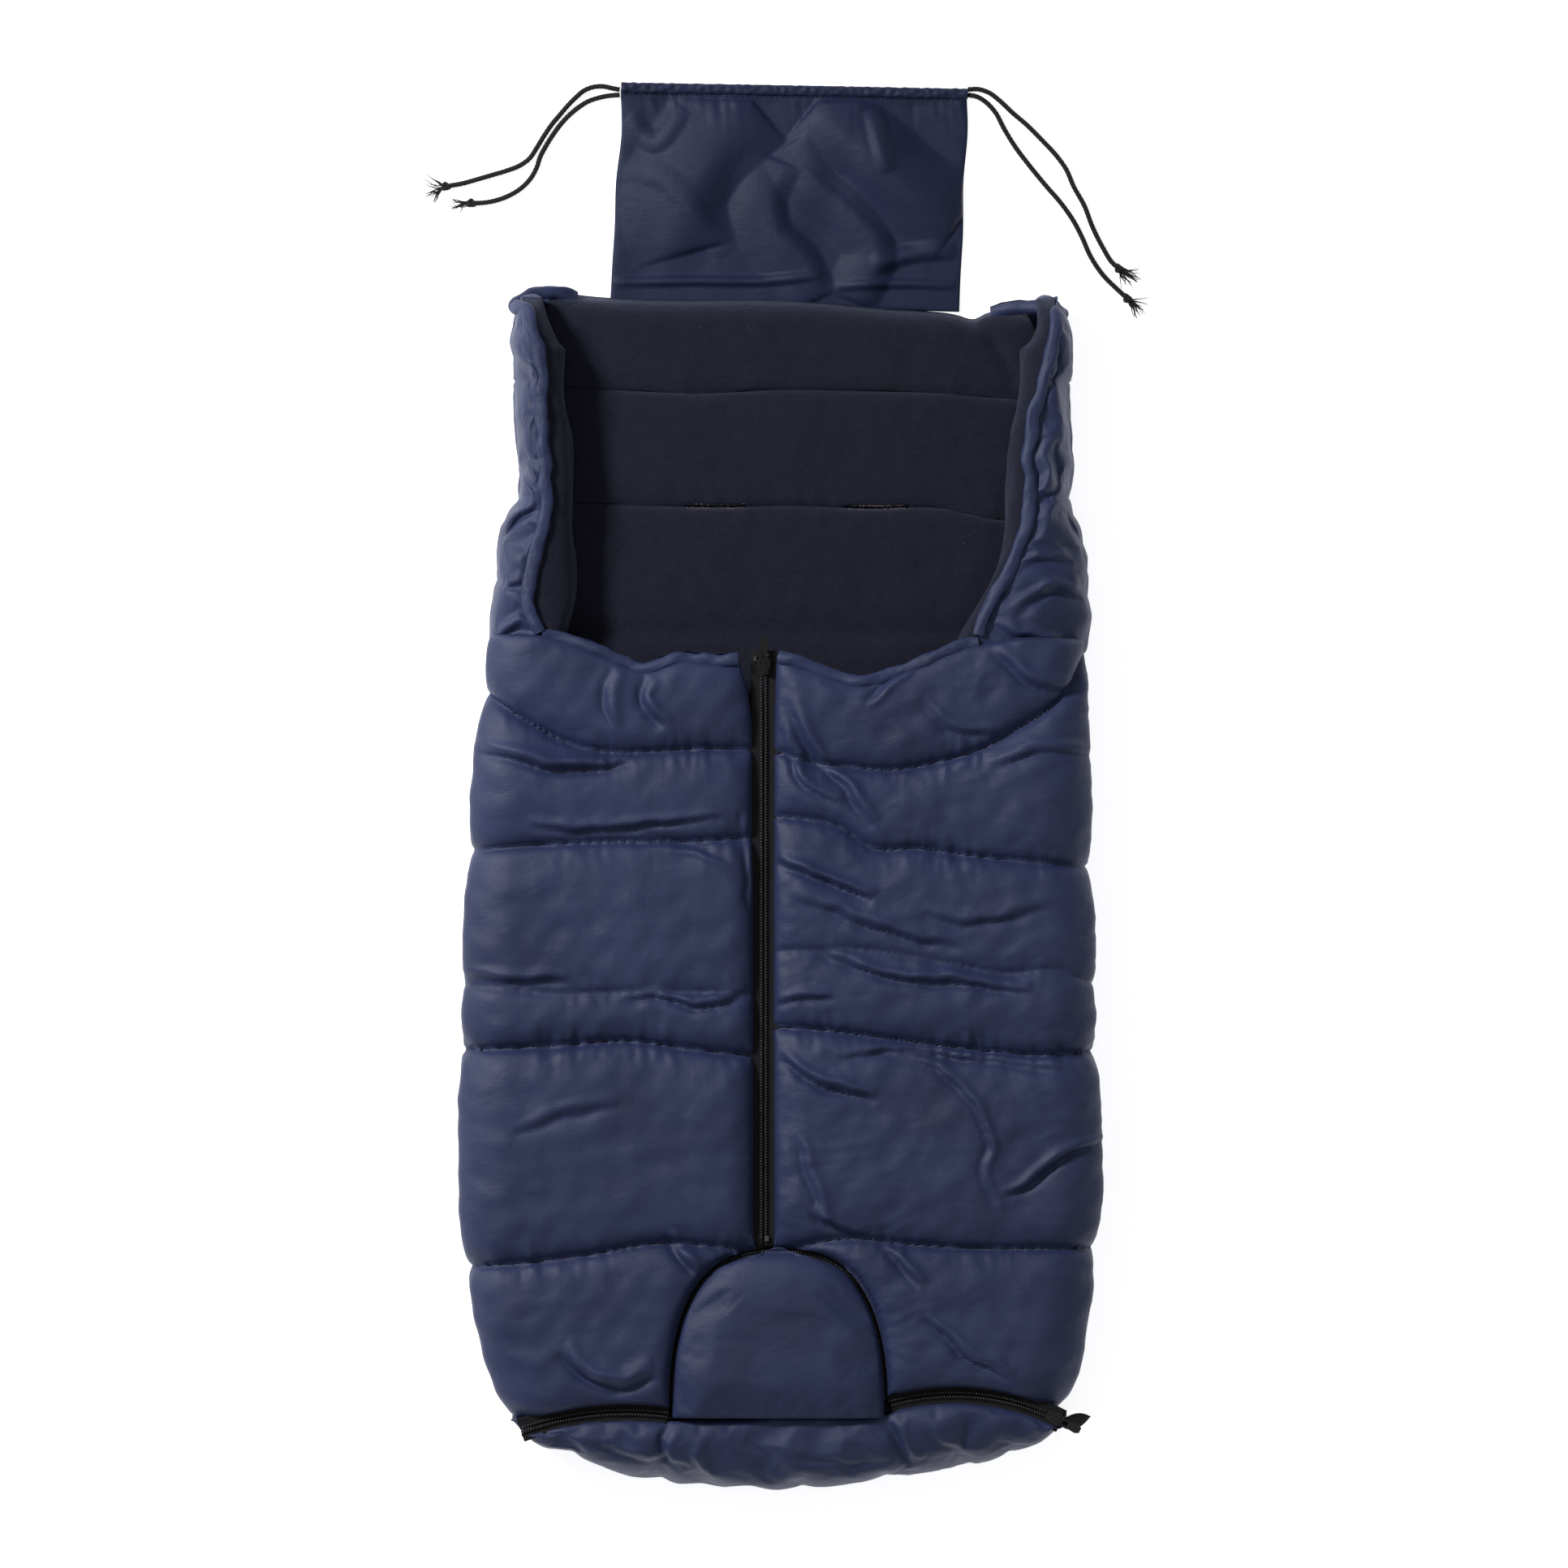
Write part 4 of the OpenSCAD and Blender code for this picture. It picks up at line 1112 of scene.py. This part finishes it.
for cover, side in ((left_cover, "left"), (right_cover, "right")):
    thicken(cover, COVER_THICK)
    dress(cover, None, "nylon", f"{side}_front_shell", f"{side}_front_padding", f"{side}_side_padding")
    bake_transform(cover)
for side, cover, _ in WALLS:
    dress(thicken(cover, COVER_THICK, 1), "muff", "nylon", f"{side}_side_shell")
for side, _, lining in WALLS:
    dress(thicken(lining, FLEECE_THICK, 1), "muff", "fleece", f"{side}_side_lining")
for end in wall_ends:
    dress(thicken(end, THIN_COVER), "muff", "nylon")
dress(thicken(back_lining, FLEECE_THICK), "muff", "fleece", "back_lining", "back_padding")
dress(thicken(back_shell, THIN_COVER), "muff", "nylon", "back_shell")
dress(thicken(foot_cover, COVER_THICK, 1), "muff", "nylon", "foot_end_shell", "foot_end_padding")
dress(thicken(tongue, COVER_THICK, 1), None, "nylon", "tongue_shell", "tongue_padding")
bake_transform(tongue)

# ---------------------------------------------------------------- linings of the fronts, sides and foot


def front_fleece(name, side):
    left = side < 0
    edge_line = smooth_line(LEFT_EDGE if left else RIGHT_EDGE)
    zip_line = smooth_line(LEFT_ZIP_EDGE if left else RIGHT_ZIP_EDGE)
    opening = smooth_line(LEFT_OPENING if left else RIGHT_OPENING)
    seams = LEFT_SEAMS if left else RIGHT_SEAMS
    columns, rows = 50, 120

    def place(u, v):
        y = -440 + v * 540
        inner = zip_line(y) + side * 1.0
        x = inner + u * (edge_line(y) - side * 20 - inner)
        out = swell(np.clip(np.abs(x) - 26, 0, None), 48)
        bottom = -445 + out * (run_y(x) + 7 + 445)
        y = bottom + v * (opening(x) - 3 - bottom)
        lift = seam_swell(x, y, seams, 30) * swell(np.abs(x - inner), 20)
        drop = np.clip((u - 0.78) / 0.22, 0, 1) ** 2 * 15
        return x, y, FRONT_Z + 1.0 - 4.5 * lift - drop + 0.4 * hills(x, y, 30, 71)

    def keep(x, y):
        return tongue_level(x, y, 5) > 1

    return cloth_grid(name, columns, rows, place, FLEECE, flip=not left, keep=keep)


def side_fleece(name, side):
    edge_line = smooth_line(LEFT_EDGE if side < 0 else RIGHT_EDGE)

    def place(u, v):
        y = -446 + v * 552
        z = BACK_TOP - 2 + u * (FRONT_Z - BACK_TOP + 1)
        x = edge_line(y) - side * (14 + 5 * np.sin(u * math.pi) ** 0.7)
        return x + 0.6 * hills(y, z * 2, 40, 72), y, z

    return cloth_grid(name, 10, 120, place, FLEECE, flip=side > 0)


def foot_fleece():
    seam = smooth_line(TONGUE_SEAM)

    def place(u, v):
        x = -184 + u * 380
        near = np.clip((np.abs(x - TONGUE_X) - 70) / 14, 0, 1)
        top = (seam(x) + 1) * (1 - near) + (run_y(x) - 6) * near
        z = BACK_TOP - 2 + v * (FRONT_Z - BACK_TOP - 1.2)
        y = top + 1 + 4 * np.sin(v * math.pi) ** 0.7 + 0.6 * hills(x, z * 2, 40, 73)
        return x, y, z

    return cloth_grid("foot_end_fleece", 90, 10, place, FLEECE)


def tongue_fleece():
    def place(u, v):
        s = (u - 0.5) * 2
        x = TONGUE_X + s * (TONGUE_HALF - 1) * tongue_bow(v)
        y = TONGUE_FOOT_Y + 1 + v * (TONGUE_RISE - 2)
        gap, _ = distance_to(tongue_loop(0), x, y)
        return x, y, FRONT_Z + 1.2 - 3 * swell(gap, 30)

    return cloth_grid("tongue_fleece", 40, 44, place, FLEECE, flip=True)


for side, sign in (("left", -1), ("right", 1)):
    lining = thicken(front_fleece(f"{side}_front_fleece", sign), LINING_THICK)
    dress(lining, f"{side}_front", "fleece", f"{side}_front_lining")
    lining = thicken(side_fleece(f"{side}_side_fleece", sign), LINING_THICK)
    dress(lining, "muff", "fleece", f"{side}_side_lining")
dress(thicken(foot_fleece(), LINING_THICK), "muff", "fleece", "foot_end_lining")
tongue_lining = dress(thicken(tongue_fleece(), LINING_THICK), None, "fleece", "tongue_lining")
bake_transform(tongue_lining)

# ---------------------------------------------------------------- rolled edges

RIM_HALF_WIDTH = 4.9
RIM_HALF_HEIGHT = 3.2


def rolled_edge(name, path, body, *stands_for):
    """A nylon binding rolled over an edge, gathered a little along its stitching."""
    path = smooth_path(path, 2.2)
    seed = sum(map(ord, name))

    def radius(turn, run):
        gather = 1 + 0.16 * hills(run, turn * 7, 19, seed)
        gather = gather + 0.1 * hills(run + turn * 5, turn * 9, 8, seed + 1)
        pinch = 1 - 0.12 * np.exp(-((np.sin(turn) - 0.1) ** 2) / 0.02) * (np.cos(turn) > 0)
        return RIM_HALF_WIDTH * np.cos(turn) * gather * pinch, RIM_HALF_HEIGHT * np.sin(turn) * gather

    edge = tube(name, path, radius, 16, NYLON)
    smooth = edge.modifiers.new("smooth", "SUBSURF")
    smooth.levels = smooth.render_levels = 1
    return dress(edge, body, "nylon", *stands_for)


def opening_path(points, first, last, lift):
    line = smooth_line(points)
    xs = np.linspace(first, last, 44)
    return [(x, float(line(x)) - 2, lift + 1.1 * math.sin(x * 0.13)) for x in xs]


RIM_Z = 62.5
for side, path in (
    ("left", opening_path(LEFT_OPENING, -30, -170, RIM_Z)),
    ("right", opening_path(RIGHT_OPENING, -1, 142, RIM_Z)),
):
    rolled_edge(f"{side}_front_rim", path, f"{side}_front", f"{side}_front_binding")


def wall_rim_path(points, first, side):
    line = smooth_line(points)
    ys = np.linspace(first, HEAD_Y - 8, 40)
    wobble = hills(ys, ys * 0, 26, 17 + side)
    path = [(float(line(y)) + 1.1 * w, y, float(wall_height(y)) + 1.6) for y, w in zip(ys, wobble)]
    if side < 0:
        corner = [(190, 344, 33), (181, 350, 26), (170, 353, 21), (158, 353, 17), (146, 350, 12)]
    else:
        corner = [(201, 336, 33), (192, 341, 26), (179, 343, 21), (166, 342, 17), (152, 339, 12)]
    return path + [(side * a, b, c) for a, b, c in corner]


rolled_edge("left_wall_rim", wall_rim_path(LEFT_WALL_RIM, 109, -1), "muff", "left_wall_binding")
rolled_edge("right_wall_rim", wall_rim_path(RIGHT_WALL_RIM, 107, 1), "muff", "right_wall_binding")

# ---------------------------------------------------------------- zips

TAPE_REACH = 9.0
TAPE_THICK = 0.7
TOOTH_PITCH = 2.0
TOOTH_SIZE = (1.22, 0.6, 1.1)
CHAIN_HALF = 0.3


def tape_strip(name, line, near, far, flip=False, sunk=0.0):
    """Woven tape beside a zip: line(run) gives the zip's middle and near and far are how far the
    strip's two edges lie from it."""
    length = int(line(0)[2])

    def place(u, v):
        i = np.rint(v * length).astype(int)
        steps = [line(k / length) for k in range(length + 1)]
        spots = np.array([step[0] for step in steps])
        away = np.array([step[1] for step in steps])
        reach = near + u * (far - near)
        x = spots[i, 0] + away[i, 0] * reach
        y = spots[i, 1] + away[i, 1] * reach
        z = TAPE_Z - sunk + 0.7 * u**2 + 0.15 * hills(x, y, 25, 81)
        return x, y, z

    strip = cloth_grid(name, 5, length, place, TAPE, flip=flip)
    return thicken(strip, TAPE_THICK)


def straight(x, y0, y1, away):
    length = abs(y1 - y0) / 4

    def line(share):
        return (x, y0 + share * (y1 - y0)), (away, 0.0), length

    return line


def bent(points, away):
    """A zip line along 2-D points; away is 1 for the side on the path's right hand, -1 for its left."""
    path = smooth_path(points, 2.0)
    way = headings(path)
    length = len(path) - 1

    def line(share):
        i = int(round(share * length))
        return tuple(path[i]), (way[i, 1] * away, -way[i, 0] * away), length

    return line


def teeth(name, points, away, offset, body, *stands_for, sunk=0.0):
    """One half of a coil: a row of rounded loops along a zip line."""
    path = smooth_path(points, TOOTH_PITCH / 4)
    way = headings(path)
    work = bmesh.new()
    for k in range(int(offset), len(path) - 2, 4):
        spot, along = path[k], way[k]
        out = np.array([along[1], -along[0]]) * away
        centre = spot + out * 1.62
        turn = math.atan2(out[1], out[0]) + 0.5 * away
        add_bead(work, (centre[0], centre[1], TAPE_Z + 1.25 - sunk), turn, TOOTH_SIZE, 2)
    return dress(new_piece(name, work, PLASTIC), body, "zip_coil", *stands_for)


CENTRE_HEAD_Y = 78.0
CENTRE_FOOT_Y = RIGHT_COIL_LOW[1] - 2
TAPE_HEAD_Y = TAPE_HIGH[1] + 2
TAPE_FOOT_Y = TAPE_LOW[1] - 4
MIDDLE = [(ZIP_X, CENTRE_FOOT_Y), (ZIP_X, (CENTRE_HEAD_Y + CENTRE_FOOT_Y) / 2), (ZIP_X, CENTRE_HEAD_Y)]
for side, sign in (("left", -1), ("right", 1)):
    body = f"{side}_front"
    line = straight(ZIP_X, TAPE_FOOT_Y, TAPE_HEAD_Y, sign)
    strip = tape_strip(f"centre_{side}_tape", line, CHAIN_HALF, TAPE_REACH, sign < 0)
    dress(strip, body, "zip_tape", f"centre_zip_{side}_tape")
    teeth(f"centre_{side}_coil", MIDDLE, sign, 0 if sign < 0 else 2, body, f"centre_zip_{side}_coil")


def run_points(first, last):
    xs = np.linspace(first, last, 24)
    return [(x, float(run_y(x))) for x in xs]


LOOP_MIDDLE = 2.0
LOOP_SUNK = 3.0
for side, sign, first, last in (("left", -1, -80, -185), ("right", 1, 79, 201)):
    points = run_points(first, last)
    upper = -1 if sign > 0 else 1
    strip = tape_strip(f"foot_{side}_upper_tape", bent(points, upper), CHAIN_HALF, 8.5, sign > 0)
    loop = tongue_loop(LOOP_MIDDLE, 160, 0.06)
    half = loop[(loop[:, 0] - ZIP_X) * sign > 1.0]
    ring = tape_strip(f"foot_{side}_loop_tape", bent(half, 1), CHAIN_HALF, 6.0, True, LOOP_SUNK)
    dress(strip, f"{side}_front", "zip_tape", f"foot_zip_{side}_upper_tape")
    dress(ring, f"{side}_front", "zip_tape")
    teeth(f"foot_{side}_upper_coil", points, upper, 0, f"{side}_front", f"foot_zip_{side}_upper_coil")
    teeth(f"foot_{side}_loop_coil", half, 1, 0, f"{side}_front", sunk=LOOP_SUNK)
    lower = tape_strip(f"foot_{side}_lower_tape", bent(points, -upper), CHAIN_HALF, 8.5, sign < 0)
    dress(lower, "muff", "zip_tape", "foot_zip_lower_tapes")
    teeth(f"foot_{side}_lower_coil", points, -upper, 2, "muff", "foot_zip_lower_coils")

loop = tongue_loop(LOOP_MIDDLE, 160, 0.06)
strip = tape_strip("tongue_tape", bent(loop, -1), CHAIN_HALF, 5.0, sunk=LOOP_SUNK)
dress(strip, "foot_tongue", "zip_tape", "tongue_zip_tape")
teeth("tongue_coil", loop, -1, 2, "foot_tongue", "tongue_zip_coil", sunk=LOOP_SUNK)

for material, nodes in (
    (ENAMEL, ("centre_zip_slider", "centre_zip_pull", "foot_zip_slider", "foot_zip_pull")),
    (PLASTIC, ("centre_zip_left_top_stop", "centre_zip_right_top_stop", "centre_zip_bottom_stop")),
):
    for node in nodes:
        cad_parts[node].data.materials.clear()
        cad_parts[node].data.materials.append(material)


def tape_tail():
    """The leaf-shaped end of tape that stands out past the right end of the foot zip."""

    def place(u, v):
        half = 5.6 * np.sin(np.clip(v * 0.93 + 0.1, 0, 1) * math.pi) ** 0.75
        s = (u - 0.5) * 2
        x = 201 + v * 21
        y = -455 + 5.0 * v**1.5 + s * half
        z = TAPE_Z - 1 + 3 * v + 2.2 * s**2 * (1 - v) + 1.2 * np.sin(v * 5)
        return x, y, z

    return thicken(cloth_grid("foot_zip_tail", 8, 18, place, TAPE), 0.7, 1)


dress(tape_tail(), "muff", "zip_tape", "foot_zip_tape_ends")

# ---------------------------------------------------------------- harness slots


def slot_edges():
    """Short loose threads along both edges of each harness slot."""
    work = bmesh.new()
    rng = np.random.default_rng(5)
    cloud, low = points_of(back_lining), smooth_line(FLEECE_SEAM_LOW)
    for x, _ in SLOTS:
        for k in range(54):
            share = k / 53
            at = x - SLOT_HALF + 2 * SLOT_HALF * share
            y = float(low(at)) + (1.3 if k % 3 else -1.2) + rng.normal(0, 0.2)
            near = np.argmin(np.hypot(cloud[:, 0] - at, cloud[:, 1] - y))
            spot = (at, y, cloud[near, 2] + rng.uniform(0.0, 0.35))
            turn = rng.normal(0, 0.35)
            add_bead(work, spot, turn, (rng.uniform(0.7, 1.5), 0.2, 0.2))
    return new_piece("harness_slot_frays", work, FRAY)


dress(slot_edges(), "muff", "nylon", "harness_slot_bindings")

# ---------------------------------------------------------------- head flap

FLAP_TOP_LEFT = (-113.5, 499.0)
FLAP_TOP_RIGHT = (134.5, 494.5)
FLAP_FOOT_LEFT = (-122.0, 346.0)
FLAP_FOOT_RIGHT = (129.0, 340.0)
# Ridges in the flap: points from the top down, reach on the left side and on the right, height
FLAP_RIDGES = [
    ([(-10.8, 481), (-47.9, 450), (-64.9, 419), (-55.6, 385)], 52, 27, 5.6),
    ([(4, 447), (-7, 420), (-3, 398), (16, 379), (30, 350)], 30, 13, 3.6),
    ([(8, 462), (26, 434), (50, 413), (69, 385), (56, 346)], 26, 15, 4.4),
    ([(22, 486), (60, 456), (95, 426), (128, 405)], 34, 34, 7.2),
    ([(-118, 442), (-90, 438), (-60, 410), (-40, 380)], 9, 12, 1.0),
    ([(-110, 480), (-92, 462), (-70, 487)], 9, 9, 1.5),
    ([(66, 486), (70, 468), (78, 440)], 8, 9, 1.8),
    ([(126, 384), (90, 380), (66, 372)], 9, 7, 2.6),
    ([(-120, 361), (-60, 362), (-10, 362), (30, 366)], 4, 5, 2.2),
    ([(40, 358), (80, 360), (126, 359)], 4, 5, 1.8),
]


def flap_cloth():
    columns, rows = 160, 104

    def place(u, v):
        top_x = FLAP_TOP_LEFT[0] + u * (FLAP_TOP_RIGHT[0] - FLAP_TOP_LEFT[0])
        top_y = FLAP_TOP_LEFT[1] + u * (FLAP_TOP_RIGHT[1] - FLAP_TOP_LEFT[1])
        foot_x = FLAP_FOOT_LEFT[0] + u * (FLAP_FOOT_RIGHT[0] - FLAP_FOOT_LEFT[0])
        foot_y = FLAP_FOOT_LEFT[1] + u * (FLAP_FOOT_RIGHT[1] - FLAP_FOOT_LEFT[1])
        x = foot_x + v * (top_x - foot_x)
        y = foot_y + v * (top_y - foot_y)
        z = np.full_like(x, 2.4)
        for points, west, east, high in FLAP_RIDGES:
            path = smooth_path(points, 1.5)
            gap, along = distance_to(path, x, y)
            reach = np.where(side_of(path, along, x, y) > 0, east, west)
            tent = np.clip(1 - gap / reach, 0, 1)
            fade = np.sin(np.clip(along, 0, 1) * math.pi) ** 0.4
            z += 1.8 * high * fade * tent**1.3 * (2.2 - 1.2 * tent)
        drawn = np.exp(-(top_y - y) / 9) * np.clip(0.6 + 0.9 * hills(x, 0 * y, 40, 90), 0.1, 1.3)
        z += drawn * 1.5 * (hills(x + 0.2 * y, y * 0.3, 13, 91) + 0.6 * hills(x, y * 0.3, 7, 92))
        z += 0.15 * crumple(x, y, 541)
        z += 0.5 * hills(x, y, 45, 93)
        edge = np.minimum(u, 1 - u) * 250
        z = 1.2 + (z - 1.2) * (0.45 + 0.55 * swell(edge, 14)) * (0.25 + 0.75 * swell((y - foot_y), 9))
        x = x + 0.8 * hills(y, x * 0.02, 60, 94) * (1 - 2 * np.minimum(u, 1 - u))
        z = np.maximum(z, 1.1)
        at_hem = np.clip(1 - (top_y - y) / 7, 0, 1)
        return x, y, z + (3.3 - z) * at_hem**0.7

    # The flap is made in the darkened copy of the nylon, with painted shade
    return cloth_grid("head_flap", columns, rows, place, SHADED_NYLON)


def flap_hem():
    ends = (FLAP_TOP_LEFT[0] - 0.5, 501.0, 3.4), (FLAP_TOP_RIGHT[0] + 0.5, 496.4, 3.4)
    path = smooth_path([ends[0], (10, 498.8, 3.3), ends[1]], 1.1)

    def radius(turn, run):
        gather = 1 + 0.2 * hills(run, turn * 3, 6, 95) + 0.05 * hills(run, turn * 5, 4, 96)
        return 3.9 * np.cos(turn) * (1 + 0.05 * hills(run, turn * 0, 7, 97)), 2.9 * np.sin(turn) * gather

    # The hem is made in the darkened copy of the nylon, with painted shade
    return tube("flap_hem", path, radius, 18, SHADED_NYLON)


flap = thicken(flap_cloth(), 0.35)
dress(flap, None, "nylon", "head_flap_panel", "flap_seam_band")
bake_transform(flap)
hem = dress(flap_hem(), "head_flap", "nylon", "head_flap_hem", "drawcords_in_hem")

# ---------------------------------------------------------------- drawcord ends

CORD_D = 3.8
LIE = 1.9
ROUTES = {
    "cord_left_upper": [
        (-115, 499.65, 2.8), (-120, 500.5, 2.6), (-127, 502, 2.1), (-134, 501.5, LIE), (-140.5, 499, LIE),
        (-146, 494.5, LIE), (-152, 488.5, LIE), (-158, 481.5, LIE), (-163.5, 475, LIE), (-169, 467, LIE),
        (-174.5, 458, LIE), (-180, 450, LIE), (-187, 445, LIE), (-196, 441.5, LIE), (-206, 438.5, LIE),
        (-218, 435, LIE), (-229, 432, LIE), (-236, 430.8, 2.2), (-240, 430, 2.8),
    ],
    "cord_left_lower": [
        (-115, 495.75, 2.8), (-122, 495.3, 2.3), (-130, 493.8, LIE), (-138, 491, LIE), (-145, 486.5, LIE),
        (-151.5, 481, LIE), (-157.5, 474.5, LIE), (-163, 467, LIE), (-168, 459, LIE), (-172, 451.5, LIE),
        (-174.5, 444, LIE), (-178.5, 436.5, LIE), (-185, 429.5, LIE), (-193.5, 424, LIE),
        (-203, 420.3, LIE), (-212, 418.5, 2.1), (-221.6, 418, 2.8),
    ],
    "cord_right_upper": [
        (135, 499.65, 2.8), (142, 500, 2.4), (150, 497.5, LIE), (158, 491.5, LIE), (167, 483, LIE),
        (177, 474.5, LIE), (188, 463.5, LIE), (199.5, 451, LIE), (205.5, 442.5, LIE), (211, 430, LIE),
        (218.5, 416.5, LIE), (224.5, 401, LIE), (232, 386, LIE), (239, 375, 2.2), (243.5, 371, 2.8),
    ],
    "cord_right_lower": [
        (135, 495.75, 2.8), (141.5, 494.5, 2.4), (148, 490.5, LIE), (154.5, 483.5, LIE), (161, 471.5, LIE),
        (169, 458.5, LIE), (180, 444, LIE), (191.5, 430, LIE), (201.5, 418.5, LIE), (211, 405, LIE),
        (217, 393.5, LIE), (223, 380, LIE), (232, 366.5, LIE), (243, 355.5, 2.2), (249.5, 349.5, 2.8),
    ],
}
STRANDS = 3
TWIST_PITCH = 9.0


def twisted(diameter, pitch):
    """The outline of a cord of three strands that turn once in a pitch."""

    def radius(turn, run):
        lobe = np.abs(np.cos(STRANDS / 2 * (turn - 2 * math.pi * run / pitch)))
        reach = diameter / 2 * (0.8 + 0.2 * lobe)
        return reach * np.cos(turn), reach * np.sin(turn)

    return radius


def knot_and_tuft(name, end, way, seed):
    """An overhand knot, and the frayed strands beyond it."""
    turn = np.linspace(0, 2 * math.pi, 64)
    heading = math.atan2(way[1], way[0])
    x, y = np.sin(turn) + 2 * np.sin(2 * turn), np.cos(turn) - 2 * np.cos(2 * turn)
    loop = np.stack([x, y, -1.2 * np.sin(3 * turn)], axis=1)
    cosine, sine = math.cos(heading), math.sin(heading)
    spin = np.array([[cosine, -sine, 0], [sine, cosine, 0], [0, 0, 1]])
    loop = loop * np.array([0.95, 0.72, 0.72]) @ spin.T + np.array([end[0], end[1], 2.9])
    knot = tube(f"{name}_knot", loop[:-1], twisted(3.0, 6.0), 10, CORD)
    rng = np.random.default_rng(seed)
    strands = []
    for k in range(16):
        aim = heading + rng.normal(0, 0.42)
        length = rng.uniform(9, 15)
        steps = np.linspace(0, 1, 9)[:, None]
        curl = rng.normal(0, 2.2, 2)
        start = np.array([end[0], end[1], 2.6]) + spin @ np.array([2.0, rng.normal(0, 0.9), 0])
        tip = np.array([math.cos(aim), math.sin(aim), 0]) * length
        sway = np.array([-math.sin(aim), math.cos(aim), 0])
        path = start + tip * steps + sway * curl[0] * steps**2 + sway * curl[1] * np.sin(steps * 5) * 0.3
        rise = rng.uniform(-1.4, 1.8) * steps[:, 0]
        path[:, 2] = np.clip(2.4 + rise + 0.4 * np.sin(steps[:, 0] * 7 + k), 0.6, 5.5)
        thin = rng.uniform(0.35, 0.75)

        def radius(turn, run, thin=thin, length=length):
            reach = thin * (1 - 0.6 * run / length)
            return reach * np.cos(turn), reach * np.sin(turn)

        strands.append(tube(f"{name}_strand_{k}", path, radius, 6, CORD))
    return knot, join(strands, f"{name}_tuft")


def join(parts, name):
    """Makes one piece of several meshes."""
    work = bmesh.new()
    for part in parts:
        work.from_mesh(part.data)
        bpy.data.objects.remove(part)
    return new_piece(name, work, CORD)


for number, (name, route) in enumerate(ROUTES.items()):
    path = smooth_path(route, 1.4)
    way = path[-1] - path[-4]
    way /= np.linalg.norm(way)
    cord = tube(name + "_rope", path[:-2], twisted(CORD_D, TWIST_PITCH), 20, CORD)
    dress(cord, "head_flap", "cord", name)
    knot, tuft = knot_and_tuft(name, path[-1], way, 30 + number)
    dress(knot, "head_flap", "cord", name.replace("cord", "knot"))
    dress(tuft, "head_flap", "cord")
    length = float(np.linalg.norm(np.diff(path[:-2], axis=0), axis=1).sum())
    [tuple(p) for p in path[:-2] * MM]

# ---------------------------------------------------------------- stitches

STITCH_PITCH = 3.6
STITCH_SIZE = (1.3, 0.24, 0.2)


def stitch_row(name, lines, covers, body, lift=-0.05):
    """Rows of short stitches that lie on a cover along 2-D lines."""
    work = bmesh.new()
    cloud = np.concatenate([points_of(cover) for cover in covers])
    for line in lines:
        path = smooth_path(line, STITCH_PITCH)
        for a, b in zip(path[:-1], path[1:]):
            centre = (a + b) / 2
            near = np.argsort(np.hypot(cloud[:, 0] - centre[0], cloud[:, 1] - centre[1]))[:4]
            z = cloud[near, 2].mean() + lift
            turn = math.atan2(b[1] - a[1], b[0] - a[0])
            add_bead(work, (centre[0], centre[1], z), turn, STITCH_SIZE)
    return dress(new_piece(name, work, THREAD), body, "nylon")


def inner_part(seam, reach=196):
    line = smooth_line(seam)
    first, last = max(seam[0][0], -reach), min(seam[-1][0], reach)
    return [(x, float(line(x))) for x in np.linspace(first, last, 24)]


firm = [k for k, strength in enumerate(SEAM_STRENGTH) if strength > 0.5]
for side, seams, cover in (("left", LEFT_SEAMS, left_cover), ("right", RIGHT_SEAMS, right_cover)):
    lines = [inner_part(seams[k]) for k in firm]
    stitch_row(f"{side}_front_stitches", lines, [cover], f"{side}_front")
lines = [inner_part(FLEECE_SEAM_HIGH, 146), inner_part(FLEECE_SEAM_LOW, 146)]
stitch_row("back_stitches", lines, [back_lining], "muff")
stitch_row("flap_hem_stitches", [[(-112, 496.2), (10, 494.0), (133, 491.6)]], [flap], "head_flap", 0.5)

# ---------------------------------------------------------------- floor, light and camera

CAMERA_HEIGHT = 8000.0
FRAME_WIDTH = 1120.6
SENSOR_WIDTH = 36
OBJECT_PLANE = 40.0
AIM = (3.0, 1.0)


def white_floor():
    floor = Finish("white_floor", 0.9)
    floor.shader.inputs["Base Color"].default_value = (0.9, 0.9, 0.9, 1)
    floor.shader.inputs["Emission Color"].default_value = (1, 1, 1, 1)
    floor.shader.inputs["Emission Strength"].default_value = 0.8
    work = bmesh.new()
    bmesh.ops.create_grid(work, x_segments=2, y_segments=2, size=4)
    plane = new_piece("floor", work, floor.material)
    plane.location.z = -0.0006


def area_light(name, place, size, power):
    lamp = bpy.data.lights.new(name, "AREA")
    lamp.shape = "DISK"
    lamp.size = size
    lamp.energy = power
    light = bpy.data.objects.new(name, lamp)
    light.location = place
    light.rotation_euler = (Vector((0, 0, 0)) - Vector(place)).to_track_quat("-Z", "Y").to_euler()
    bpy.context.scene.collection.objects.link(light)


white_floor()
area_light("key_light", (-1.8, 1.25, 1.75), 0.6, 64)
area_light("fill_light", (0.5, -0.6, 3.0), 2.0, 7)

world = bpy.data.worlds.new("studio")
world.use_nodes = True
world.node_tree.nodes["Background"].inputs["Color"].default_value = (1, 1, 1, 1)
world.node_tree.nodes["Background"].inputs["Strength"].default_value = 0.19
bpy.context.scene.world = world
bpy.context.scene.view_settings.view_transform = "Standard"

camera_data = bpy.data.cameras.new("camera")
camera_data.sensor_width = SENSOR_WIDTH
camera_data.lens = SENSOR_WIDTH * (CAMERA_HEIGHT - OBJECT_PLANE) / FRAME_WIDTH
camera_data.clip_end = 20
camera = bpy.data.objects.new("camera", camera_data)
camera.location = (AIM[0] * MM, AIM[1] * MM, CAMERA_HEIGHT * MM)
bpy.context.scene.collection.objects.link(camera)
bpy.context.scene.camera = camera
